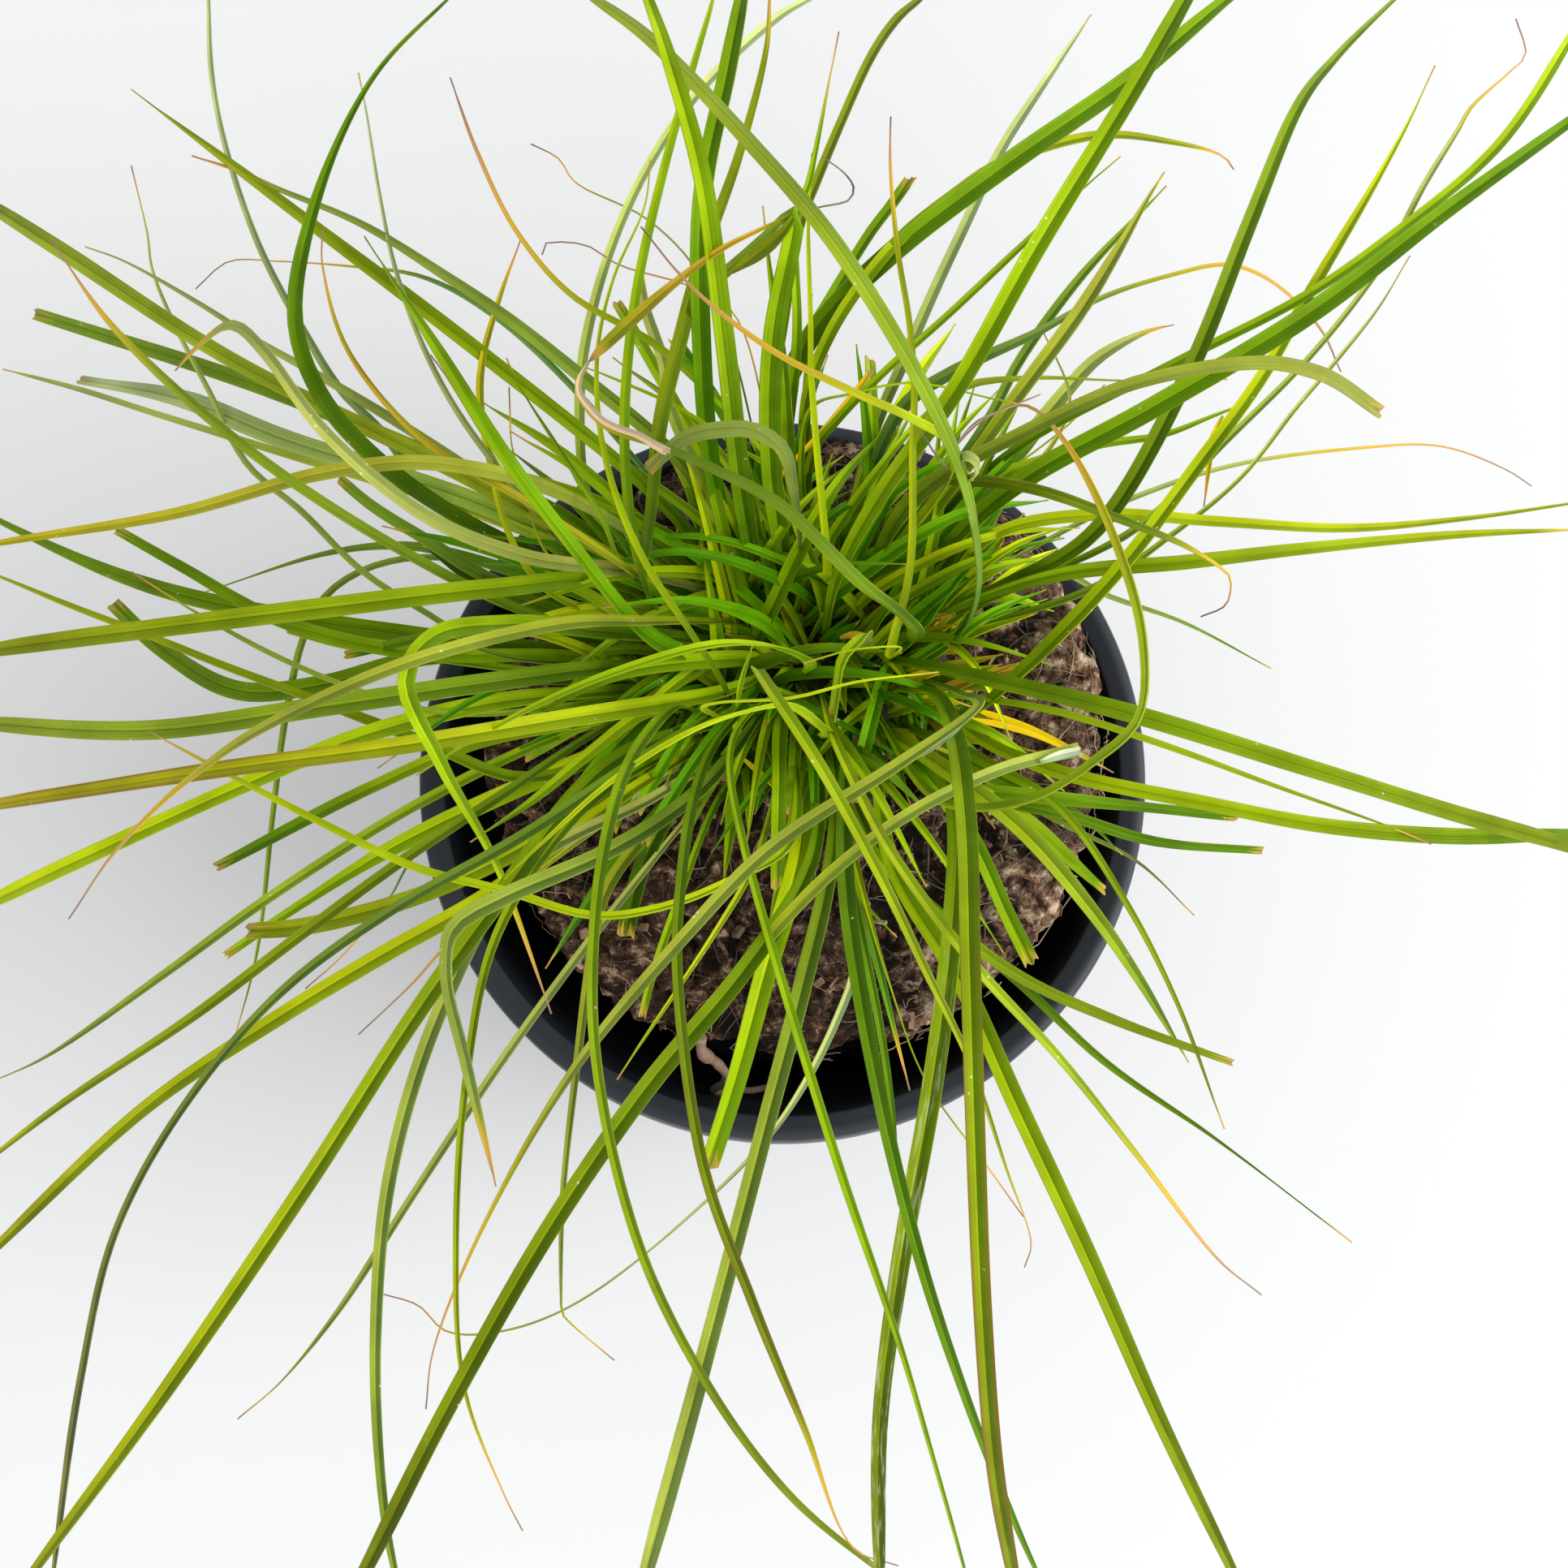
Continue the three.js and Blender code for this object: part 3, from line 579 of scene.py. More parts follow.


# The next two tables aren't made by hand throughout. A measuring program wrote them from earlier ones:
# it set the widths, moved most of the course points sideways and chose the looks. Some looks were then
# changed one by one.
#
# Each main leaf: name, widths in mm at the shares in WIDTH_STATIONS, look, dry share, tip, foot on the
# sheet and course to the tip.
MAIN_LEAVES = [
    ("blade_left_1", (2.6, 2.4, 2.0, 0.4), "grass>olive", 0.03, "fine", (905, 728), [(787, 593, 165),
     (594, 437, 180), (397, 288, 170), (162, 111, 135)]),
    ("blade_left_2", (2.7, 2.9, 0.8, 0.8), "dusk>deep", 0.0, "fine", (860, 778), [(700, 702, 152),
     (559, 635, 172), (459, 563, 188), (390, 481, 203), (362, 390, 213), (384, 265, 213), (453, 107, 200),
     (563, -12, 175)]),
    ("blade_left_3", (2.9, 2.6, 2.8, 2.5), "olive>meadow", 0.0, "fine", (868, 758), [(740, 681, 172),
     (559, 581, 186), (299, 452, 182), (79, 312, 163), (-61, 224, 130)]),
    ("blade_left_4", (2.8, 2.7, 2.6, 2.5), "dim>fern", 0.012, "cut", (838, 765), [(700, 640, 157),
     (560, 574, 160), (330, 479, 145), (45, 387, 112)]),
    ("blade_left_5", (3.4, 3.3, 3.5, 2.0), "lime>mist", 0.02, "cut", (850, 800), [(640, 644, 166),
     (498, 589, 174), (358, 545, 176), (229, 495, 155), (100, 470, 125)]),
    ("blade_left_6", (1.7, 1.9, 1.3, 0.4), "deep>meadow", 0.22, "fine", (872, 818), [(637, 751, 180),
     (463, 661, 205), (317, 564, 210), (152, 418, 190), (63, 297, 165)]),
    ("blade_left_7", (2.4, 2.2, 2.0, 1.4), "khaki>pale", 0.1, "fine", (925, 745), [(780, 706, 178),
     (640, 684, 205), (519, 632, 217), (399, 530, 224), (329, 436, 224), (290, 402, 219), (247, 427, 209),
     (217, 457, 199)]),
    ("blade_left_8", (3.5, 3.0, 1.9, 0.4), "vivid>grass", 0.0, "fine", (890, 818), [(790, 780, 188),
     (699, 670, 217), (619, 561, 227), (539, 431, 221), (450, 292, 200)]),
    ("blade_left_9", (1.6, 1.4, 0.7, 0.4), "fresh>straw", 0.2, "fine", (900, 775), [(789, 713, 180),
     (639, 614, 212), (527, 548, 214), (435, 443, 207), (398, 330, 190), (398, 285, 180)]),
    ("blade_left_10", (2.2, 2.2, 1.7, 1.1), "sage>gold", 0.0, "fine", (880, 736), [(740, 635, 182),
     (620, 585, 214), (520, 570, 219), (400, 583, 209), (220, 632, 188), (1, 669, 160), (-69, 684, 145)]),
    ("blade_left_11", (3.3, 3.1, 1.5, 1.0), "green", 0.0, "fine", (822, 800), [(700, 802, 150),
     (519, 784, 155), (299, 751, 146), (159, 714, 128), (-2, 641, 100), (-63, 606, 85)]),
    ("blade_left_12", (3.2, 3.2, 3.2, 2.4), "grass>olive", 0.0, "fine", (866, 795), [(764, 720, 168),
     (600, 727, 198), (401, 750, 200), (201, 774, 190), (1, 801, 165), (-69, 815, 150)]),
    ("blade_left_13", (3.2, 3.4, 3.4, 2.8), "green", 0.0, "cut", (815, 822), [(640, 806, 150),
     (510, 815, 148), (400, 845, 140), (300, 853, 130), (200, 800, 112), (140, 745, 100)]),
    ("blade_left_14", (3.4, 3.3, 3.2, 2.8), "deep>meadow", 0.0, "fine", (890, 838), [(760, 824, 168),
     (601, 843, 187), (401, 872, 189), (200, 900, 175), (-1, 893, 145), (-61, 885, 130)]),
    ("blade_left_15", (2.2, 1.9, 0.8, 0.4), "moss>khaki", 0.3, "fine", (935, 770), [(800, 768, 200),
     (673, 773, 232), (503, 816, 247), (345, 885, 235), (239, 955, 210), (144, 1048, 178),
     (86, 1132, 150)]),
    ("blade_left_16", (3.3, 2.8, 1.5, 0.8), "dusk>lime", 0.12, "fine", (912, 795), [(740, 779, 190),
     (620, 771, 222), (531, 787, 239), (500, 830, 244), (543, 938, 227), (613, 1068, 200),
     (679, 1248, 175)]),
    ("blade_left_17", (3.2, 2.8, 2.6, 2.8), "fresh>gold+rust", 0.1, "fine", (945, 830), [(880, 857, 172),
     (672, 891, 210), (501, 919, 220), (301, 946, 210), (101, 977, 185), (1, 993, 170), (-69, 1006, 155)]),
    ("blade_left_18", (3.2, 2.9, 3.0, 2.9), "fresh>bright", 0.0, "fine", (842, 845), [(740, 855, 157),
     (601, 869, 172), (451, 907, 175), (302, 968, 165), (102, 1059, 142), (1, 1108, 125),
     (-59, 1138, 112)]),
    ("blade_left_19", (2.3, 2.2, 2.1, 1.9), "bright>deep", 0.01, "cut", (862, 868), [(760, 883, 155),
     (599, 912, 158), (458, 970, 148), (269, 1067, 125)]),
    ("blade_left_20", (3.3, 3.0, 2.9, 2.9), "grass>olive", 0.02, "cut", (868, 892), [(739, 984, 163),
     (619, 1057, 170), (509, 1105, 166), (380, 1140, 157), (308, 1147, 150)]),
    ("blade_left_21", (1.6, 1.8, 1.4, 0.9), "dusk>olive", 0.0, "fine", (893, 873), [(760, 889, 170),
     (619, 979, 185), (499, 1058, 190), (380, 1145, 186), (242, 1249, 170), (79, 1358, 140),
     (-51, 1458, 108)]),
    ("blade_left_22", (2.9, 2.5, 2.3, 1.7), "bright>olive", 0.0, "fine", (900, 900), [(761, 987, 172),
     (602, 1104, 190), (473, 1176, 191), (331, 1261, 182), (179, 1364, 162), (1, 1531, 128),
     (-49, 1581, 112)]),
    ("blade_left_23", (1.8, 1.3, 1.2, 1.3), "deep>ash", 0.0, "fine", (918, 858), [(849, 899, 184),
     (780, 941, 201), (639, 1033, 214), (479, 1124, 217), (347, 1222, 219), (232, 1356, 211),
     (146, 1510, 196), (100, 1700, 172), (63, 1960, 135)]),
    ("blade_front_1", (3.3, 2.8, 2.3, 2.1), "deep>olive", 0.0, "fine", (930, 882), [(741, 951, 188),
     (621, 1101, 208), (512, 1252, 220), (383, 1452, 222), (201, 1720, 205), (44, 1936, 175),
     (-4, 2004, 160)]),
    ("blade_front_2", (2.5, 2.3, 1.7, 1.4), "pale>fern", 0.0, "fine", (925, 908), [(801, 987, 174),
     (643, 1073, 190), (545, 1242, 203), (483, 1442, 212), (464, 1640, 200), (474, 1860, 170),
     (499, 1990, 145)]),
    ("blade_front_3", (2.7, 2.7, 2.4, 1.4), "dusk>sage", 0.1, "fine", (953, 860), [(851, 986, 200),
     (741, 1056, 226), (621, 1107, 240), (567, 1137, 240), (553, 1190, 230), (576, 1309, 205),
     (611, 1460, 172)]),
    ("blade_front_4", (1.9, 2.1, 0.8, 0.4), "fern>khaki", 0.22, "fine", (1128, 838), [(1181, 857, 200),
     (1198, 882, 247), (1101, 948, 262), (953, 1043, 258), (834, 1164, 246), (708, 1316, 222),
     (595, 1512, 188), (535, 1660, 162), (525, 1735, 145)]),
    ("blade_front_5", (2.0, 1.4, 1.4, 1.2), "dim>moss", 0.04, "fine", (878, 888), [(820, 881, 202),
     (763, 971, 234), (734, 1120, 250), (732, 1281, 250), (780, 1513, 230), (868, 1701, 200),
     (975, 1845, 168), (1083, 1935, 142), (1128, 1968, 130)]),
    ("blade_front_6", (2.8, 3.0, 2.8, 2.7), "dim>moss", 0.0, "fine", (1008, 888), [(997, 1069, 182),
     (916, 1197, 203), (793, 1345, 215), (680, 1510, 214), (556, 1728, 196), (453, 1931, 168),
     (418, 1994, 155)]),
    ("blade_front_7", (2.9, 2.8, 3.0, 2.7), "green>reed", 0.0, "fine", (1028, 905), [(1025, 1060, 170),
     (986, 1230, 190), (946, 1380, 202), (891, 1590, 202), (851, 1740, 192), (798, 1932, 166),
     (783, 1990, 155)]),
    ("blade_front_8", (3.5, 3.5, 3.6, 3.3), "bright>grass", 0.012, "cut", (985, 912), [(986, 1050, 158),
     (942, 1201, 170), (909, 1321, 168), (872, 1437, 158)]),
    ("blade_front_9", (1.8, 1.6, 1.4, 0.3), "deep>moss+rust", 0.17, "fine", (938, 852), [(868, 940, 194),
     (839, 1080, 232), (834, 1200, 238), (863, 1422, 232), (926, 1601, 210), (991, 1759, 184),
     (1052, 1907, 156), (1106, 1928, 146)]),
    ("blade_front_10", (1.3, 1.4, 0.8, 0.7), "grass", 0.0, "fine", (970, 842), [(900, 920, 205),
     (915, 1040, 240), (966, 1220, 250), (1031, 1430, 242), (1106, 1649, 216), (1148, 1790, 190),
     (1188, 1932, 158), (1198, 1975, 146)]),
    ("blade_front_11", (2.9, 2.0, 1.5, 1.1), "dusk>deep", 0.0, "fine", (1048, 882), [(1039, 1000, 188),
     (1048, 1150, 218), (1085, 1359, 228), (1130, 1540, 218), (1189, 1720, 192), (1248, 1871, 161),
     (1288, 1961, 140)]),
    ("blade_front_12", (3.1, 3.3, 2.3, 2.1), "grass>moss+glaze", 0.0, "fine", (1112, 872),
     [(1177, 1000, 178), (1174, 1150, 198), (1147, 1351, 208), (1110, 1551, 206), (1085, 1740, 188),
     (1084, 1932, 158), (1087, 1990, 145)]),
    ("blade_front_13", (3.1, 2.9, 2.7, 2.4), "green>moss+rust", 0.0, "fine", (1098, 848), [(1163, 871, 190),
     (1189, 1000, 232), (1195, 1200, 254), (1201, 1400, 256), (1209, 1600, 243), (1224, 1800, 216),
     (1247, 1939, 190), (1260, 1999, 175)]),
    ("blade_front_14", (3.0, 3.0, 2.4, 2.0), "lime>moss", 0.0, "fine", (1078, 890), [(1103, 1073, 180),
     (1188, 1217, 198), (1251, 1358, 207), (1338, 1545, 206), (1425, 1742, 190), (1517, 1931, 162),
     (1542, 1984, 150)]),
    ("blade_front_15", (1.8, 1.5, 0.9, 0.5), "bright>fern", 0.25, "fine", (1010, 852), [(1040, 940, 212),
     (1110, 1070, 242), (1201, 1190, 246), (1301, 1299, 234), (1399, 1421, 208), (1502, 1553, 172),
     (1553, 1595, 158)]),
    ("blade_front_16", (2.3, 1.7, 0.8, 0.2), "green>olive", 0.12, "fine", (988, 862), [(951, 852, 215),
     (942, 842, 266), (1006, 937, 272), (1078, 1066, 262), (1141, 1195, 240), (1195, 1308, 216),
     (1240, 1440, 188), (1270, 1530, 163), (1262, 1560, 152)]),
    ("blade_right_1", (3.1, 2.4, 1.2, 0.6), "green>fern", 0.0, "fine", (1130, 765), [(1243, 719, 160),
     (1358, 647, 184), (1464, 462, 200), (1538, 279, 207), (1595, 140, 203), (1644, 73, 188),
     (1716, 1, 168), (1761, -39, 152)]),
    ("blade_right_2", (3.2, 3.5, 2.3, 2.0), "dim>deep", 0.0, "fine", (1106, 742), [(1261, 591, 195),
     (1421, 502, 208), (1602, 394, 212), (1772, 267, 197), (1933, 151, 170), (1986, 113, 158)]),
    ("blade_right_3", (1.7, 1.6, 1.8, 2.0), "deep>lime", 0.0, "fine", (1082, 728), [(1251, 554, 182),
     (1442, 451, 193), (1602, 369, 195), (1723, 285, 186), (1843, 183, 167), (1933, 51, 140),
     (1962, 1, 128)]),
    ("blade_right_4", (3.1, 1.9, 2.1, 2.4), "green>khaki", 0.02, "cut", (1058, 742), [(1131, 611, 196),
     (1251, 537, 228), (1401, 470, 240), (1540, 446, 243), (1617, 457, 234), (1698, 507, 206)]),
    ("blade_right_5", (2.1, 1.9, 0.8, 0.6), "bright>olive", 0.03, "fine", (1145, 790), [(1230, 656, 174),
     (1350, 635, 179), (1500, 644, 178), (1650, 652, 168), (1801, 640, 150), (1933, 621, 133),
     (1971, 615, 126)]),
    ("blade_right_6", (2.7, 2.8, 2.7, 2.4), "green>moss", 0.0, "fine", (1085, 812), [(1199, 834, 192),
     (1397, 881, 214), (1616, 948, 207), (1777, 998, 187), (1933, 1043, 160), (1991, 1066, 148)]),
    ("blade_right_7", (2.4, 2.5, 2.7, 2.0), "bright>dim", 0.0, "fine", (1152, 868), [(1230, 924, 166),
     (1330, 959, 182), (1479, 989, 184), (1619, 1016, 175), (1780, 1030, 155), (1932, 1027, 130),
     (1990, 1025, 118)]),
    ("blade_right_8", (1.9, 2.2, 1.1, 0.3), "fresh>meadow", 0.26, "fine", (1068, 862), [(1169, 993, 192),
     (1272, 987, 213), (1349, 941, 226), (1407, 883, 234), (1411, 790, 238), (1372, 659, 233),
     (1309, 540, 222), (1262, 500, 214), (1207, 522, 205), (1170, 560, 198)]),
    ("blade_back_1", (3.4, 3.2, 2.9, 2.3), "emerald>lime", 0.0, "fine", (938, 742), [(912, 600, 195),
     (888, 401, 240), (864, 221, 258), (823, 72, 252), (788, -28, 240)]),
    ("blade_back_2", (2.8, 3.2, 2.6, 2.9), "vivid>dim", 0.0, "fine", (922, 716), [(880, 600, 180),
     (864, 440, 218), (865, 249, 232), (897, 89, 226), (922, -41, 212)]),
    ("blade_back_3", (3.5, 3.4, 3.0, 2.6), "dim>grass", 0.0, "torn", (975, 742), [(949, 560, 200),
     (954, 399, 236), (977, 285, 254), (978, 266, 257), (944, 297, 250), (892, 344, 236)]),
    ("blade_back_4", (2.7, 2.6, 2.3, 2.5), "emerald>meadow", 0.0, "fine", (1155, 812), [(1200, 760, 182),
     (1210, 680, 222), (1181, 560, 255), (1121, 440, 268), (1031, 299, 268), (916, 164, 252),
     (797, 43, 228), (719, -12, 208)]),
    ("blade_back_5", (2.7, 2.9, 2.8, 3.1), "lime>green", 0.0, "fine", (1018, 778), [(1037, 699, 180),
     (1095, 596, 216), (1182, 475, 240), (1279, 303, 250), (1389, 124, 242), (1464, -6, 226),
     (1489, -51, 215)]),
    ("blade_back_6", (3.4, 3.2, 3.3, 2.1), "deep>dim", 0.0, "fine", (998, 715), [(954, 545, 170),
     (998, 415, 196), (1099, 311, 214), (1236, 207, 214), (1383, 105, 196), (1517, -4, 172),
     (1567, -39, 160)]),
]

# Each finer leaf: widths in mm, look, dry share, tip, highest point and end in mm above the ground, and
# its course on the sheet. It grows from the part of the crown that is nearest to the course's start.
FINE_LEAVES = {
    "fine_leaves_left": [
        ((2.4, 1.9, 1.2, 0.9), "fern>sage", 0.12, "fine", 185, 150, [(864, 605), (813, 543), (715, 463),
         (627, 394), (547, 340), (448, 279), (339, 233), (299, 214), (237, 193)]),
        ((1.8, 1.2, 1.1, 1.0), "emerald>mist", 0.0, "fine", 150, 118, [(559, 641), (469, 531), (420, 481),
         (378, 414), (321, 306), (278, 179), (261, 90), (257, 0), (255, -50)]),
        ((1.4, 0.9, 0.6, 0.5), "moss>mist", 0.03, "fine", 190, 150, [(703, 677), (603, 563), (558, 498),
         (518, 419), (487, 330), (468, 240), (450, 130), (442, 91)]),
        ((1.4, 1.3, 0.7, 0.7), "fresh>grass", 0.35, "fine", 215, 185, [(968, 638), (946, 561), (869, 478),
         (804, 423), (706, 366), (638, 288), (589, 190), (555, 97)]),
        ((1.6, 1.1, 1.3, 0.7), "grass>gold", 0.1, "fine", 190, 165, [(662, 719), (622, 649), (602, 560),
         (592, 500), (594, 450), (615, 371), (643, 293)]),
        ((1.9, 1.6, 1.0, 0.4), "fern>pale", 0.03, "fine", 175, 150, [(699, 662), (599, 592), (499, 527),
         (399, 467), (319, 422), (249, 377), (150, 321), (105, 305)]),
        ((2.0, 1.3, 1.1, 1.0), "bright>pale", 0.03, "fine", 172, 140, [(759, 693), (671, 663), (549, 618),
         (449, 588), (349, 558), (200, 512), (100, 480), (5, 455)]),
        ((1.1, 1.2, 0.7, 0.3), "deep>pale", 0.08, "fine", 175, 140, [(598, 803), (536, 763), (448, 706),
         (373, 632), (305, 573), (259, 485), (213, 396), (187, 330), (182, 290), (162, 205)]),
        ((0.4, 0.2, 0.3, 0.2), "green>bright", 0.2, "fine", 190, 180, [(638, 601), (588, 526), (548, 461),
         (531, 438)]),
        ((1.2, 1.1, 0.8, 0.2), "fern>green", 0.03, "fine", 195, 185, [(762, 693), (738, 634), (683, 544),
         (641, 477), (625, 442)]),
        ((0.6, 0.5, 0.2, 0.3), "bright>moss", 0.15, "fine", 185, 172, [(671, 680), (646, 600), (631, 550),
         (629, 510), (628, 478)]),
        ((1.2, 1.0, 0.3, 0.2), "blue", 0.3, "fine", 150, 125, [(695, 466), (599, 382), (520, 341),
         (439, 329), (340, 322), (281, 323), (242, 356)]),
        ((2.4, 2.3, 1.9, 2.1), "emerald>fern", 0.0, "cut", 155, 148, [(619, 722), (523, 664), (458, 622),
         (418, 587)]),
        ((2.2, 1.9, 1.1, 0.5), "fresh>lime", 0.02, "fine", 235, 200, [(990, 815), (944, 798), (867, 798),
         (769, 825), (675, 863), (582, 912), (515, 955)]),
        ((2.3, 2.0, 1.2, 0.5), "lime>bright", 0.0, "fine", 232, 205, [(1011, 899), (962, 872), (863, 899),
         (764, 957), (670, 1038), (605, 1100)]),
        ((2.0, 1.7, 1.3, 0.2), "lime>sage", 0.05, "fine", 160, 120, [(701, 903), (516, 991), (340, 1101),
         (203, 1200), (60, 1300), (1, 1328), (-39, 1343)]),
        ((3.0, 3.4, 1.6, 1.6), "bright>grass", 0.01, "cut", 150, 140, [(739, 928), (492, 1040), (362, 1120),
         (278, 1177)]),
        ((2.2, 1.5, 1.3, 0.7), "dim>olive", 0.04, "fine", 170, 140, [(640, 959), (520, 914), (385, 862),
         (278, 822), (193, 788), (89, 748), (0, 711), (-40, 695)]),
        ((2.8, 2.7, 2.7, 2.6), "grass>dusk", 0.02, "cut", 158, 150, [(700, 760), (596, 720), (526, 666)]),
        ((2.4, 2.4, 2.0, 1.8), "lime>dim", 0.02, "cut", 160, 140, [(700, 808), (514, 804), (355, 768),
         (224, 698), (143, 652)]),
        ((1.0, 0.9, 0.9, 0.2), "fresh>sage", 0.1, "fine", 175, 150, [(558, 879), (468, 859), (357, 816),
         (244, 756), (163, 705)]),
        ((2.3, 1.6, 0.8, 0.2), "spring>sage", 0.05, "fine", 140, 128, [(560, 683), (493, 673), (404, 682),
         (247, 732)]),
        ((1.4, 1.4, 1.4, 1.4), "grass>fresh", 0.02, "cut", 155, 145, [(680, 830), (515, 809), (426, 796),
         (358, 778)]),
        ((1.2, 1.3, 0.9, 0.4), "sage>fern", 0.04, "fine", 140, 95, [(560, 689), (466, 696), (405, 731),
         (376, 782), (353, 881), (337, 1002), (318, 1168), (290, 1279)]),
        ((1.7, 1.5, 1.3, 0.8), "fresh>bright", 0.06, "fine", 222, 185, [(962, 1055), (910, 1083),
        (819, 1119),
         (733, 1130), (627, 1100), (513, 1070), (404, 1018), (298, 963), (185, 902)]),
        ((1.3, 0.9, 0.5, 0.2), "mist>bright", 0.6, "fine", 150, 130, [(563, 1153), (509, 1211),
         (442, 1274)]),
        ((1.4, 0.7, 0.3, 0.3), "dim>blue", 0.2, "fine", 150, 140, [(523, 1041), (478, 1110), (422, 1178),
         (377, 1218)]),
        ((2.4, 2.1, 1.6, 0.5), "bright>fresh", 0.05, "fine", 175, 160, [(783, 884), (723, 930), (660, 983),
         (580, 1037)]),
    ],
    "fine_leaves_front": [
        ((2.2, 1.2, 0.8, 0.5), "dim>olive", 0.12, "fine", 200, 150, [(704, 1012), (609, 1161), (575, 1328),
         (562, 1529), (572, 1709), (620, 1838), (644, 1885)]),
        ((3.2, 3.1, 3.0, 3.0), "emerald>dusk", 0.03, "cut", 158, 150, [(850, 960), (800, 1047),
         (778, 1114), (771, 1154)]),
        ((1.3, 1.3, 1.4, 1.4), "emerald>fresh", 0.03, "cut", 152, 140, [(876, 1002), (829, 1129),
        (802, 1210),
         (792, 1250)]),
        ((1.0, 1.1, 0.8, 0.5), "meadow>bright", 0.04, "fine", 170, 158, [(924, 1077), (885, 1143),
        (835, 1219),
         (784, 1294), (761, 1330)]),
        ((1.6, 1.5, 1.2, 0.8), "dusk>deep", 0.05, "fine", 165, 150, [(1061, 1150), (1083, 1260),
         (1099, 1372), (1106, 1484)]),
        ((1.4, 0.2, 0.3, 0.2), "bright>dusk", 0.2, "fine", 170, 140, [(1092, 1199), (1138, 1326),
         (1220, 1441), (1261, 1498)]),
        ((2.0, 2.2, 1.0, 0.5), "ash>vivid", 0.15, "fine", 150, 140, [(1080, 1180), (1105, 1282),
         (1121, 1343)]),
        ((1.6, 0.4, 0.4, 0.3), "mist>khaki", 0.14, "fine", 150, 100, [(1054, 1178), (1030, 1258),
        (958, 1386),
         (843, 1504), (709, 1606), (618, 1640), (551, 1640), (516, 1608), (473, 1594)]),
        ((1.4, 1.5, 1.2, 0.2), "pale>sage", 0.08, "fine", 165, 110, [(803, 1062), (705, 1188), (616, 1311),
         (513, 1467), (419, 1613), (345, 1704), (294, 1748)]),
        ((2.5, 1.2, 1.0, 0.2), "olive>sage", 0.1, "fine", 175, 130, [(745, 1101), (727, 1191), (712, 1305),
         (694, 1475), (692, 1600), (693, 1617), (703, 1629), (757, 1675)]),
        ((2.8, 2.8, 2.7, 2.8), "vivid>grass", 0.02, "cut", 160, 150, [(1148, 961), (1201, 1039),
        (1242, 1128),
         (1271, 1185)]),
        ((2.0, 2.2, 1.8, 1.2), "fresh>moss", 0.05, "cut", 168, 150, [(1068, 1042), (1166, 1138),
         (1259, 1205), (1371, 1256), (1517, 1309)]),
        ((2.2, 1.3, 0.4, 0.2), "green>dusk", 0.04, "fine", 160, 115, [(1089, 1062), (1199, 1162),
         (1259, 1214), (1357, 1305), (1495, 1401), (1665, 1530)]),
        ((3.0, 2.7, 2.1, 1.0), "bright>fern", 0.03, "fine", 185, 150, [(1151, 939), (1261, 1023),
         (1342, 1117), (1399, 1199), (1464, 1308)]),
        ((2.3, 1.2, 0.8, 0.5), "grass>moss", 0.04, "fine", 190, 150, [(1219, 942), (1308, 998),
         (1383, 1106), (1447, 1229), (1508, 1390)]),
    ],
    "fine_leaves_right": [
        ((2.9, 2.4, 1.7, 0.5), "green>bright", 0.04, "fine", 205, 165, [(1200, 880), (1255, 835),
         (1381, 702), (1480, 570), (1554, 468), (1617, 358), (1688, 238), (1732, 158), (1768, 82)]),
        ((1.3, 1.0, 1.1, 0.2), "green>pale", 0.15, "fine", 190, 160, [(1301, 703), (1410, 644), (1509, 545),
         (1612, 442), (1701, 328), (1754, 229), (1798, 157), (1811, 134), (1862, 87), (1879, 68),
         (1867, 24)]),
        ((1.5, 0.7, 0.8, 0.4), "fresh>pale", 0.04, "fine", 170, 150, [(1352, 723), (1441, 662), (1528, 590),
         (1597, 503), (1643, 449), (1698, 380), (1737, 316)]),
        ((2.1, 1.7, 0.3, 0.2), "sage>olive", 0.03, "fine", 200, 190, [(1180, 480), (1260, 466), (1394, 469),
         (1475, 464), (1511, 468)]),
        ((2.6, 0.8, 0.8, 0.7), "blue>sage", 0.35, "fine", 185, 140, [(1112, 503), (1170, 460), (1273, 412),
         (1355, 368), (1440, 340), (1511, 327), (1563, 346), (1625, 405), (1651, 458)]),
        ((2.3, 2.6, 2.7, 1.2), "fresh>khaki", 0.02, "fine", 205, 195, [(1189, 580), (1259, 484),
         (1331, 387), (1380, 307), (1419, 238), (1435, 213)]),
        ((1.9, 1.8, 1.7, 0.8), "blue>fern", 0.0, "fine", 180, 170, [(1218, 519), (1257, 446), (1327, 349),
         (1388, 281), (1437, 230)]),
        ((3.5, 3.0, 2.2, 1.0), "green>pale", 0.08, "fine", 150, 140, [(1243, 572), (1299, 500), (1352, 442),
         (1418, 407), (1446, 401)]),
        ((3.0, 1.9, 1.5, 0.6), "grass>olive", 0.08, "fine", 180, 140, [(1149, 759), (1305, 705),
         (1462, 692), (1600, 677), (1797, 659), (1932, 653), (1970, 651)]),
        ((1.0, 0.7, 0.4, 0.2), "sage>mist", 0.45, "fine", 150, 115, [(1300, 660), (1385, 618), (1512, 575),
         (1677, 552), (1775, 550), (1855, 579), (1886, 599)]),
        ((2.3, 2.0, 1.2, 0.8), "bright>green", 0.03, "fine", 175, 165, [(1181, 602), (1261, 575),
         (1350, 549), (1431, 537), (1494, 513), (1541, 495)]),
        ((0.5, 0.5, 0.3, 0.2), "grass>lime", 0.05, "fine", 180, 172, [(1230, 589), (1272, 559),
         (1322, 519), (1361, 475)]),
        ((1.3, 1.4, 0.6, 0.3), "yellow>pale", 0.05, "fine", 180, 172, [(1290, 560), (1316, 511),
         (1318, 484), (1294, 426), (1280, 399)]),
        ((1.3, 1.2, 0.7, 0.4), "lime>olive", 0.08, "fine", 185, 160, [(1100, 850), (1168, 854), (1305, 876),
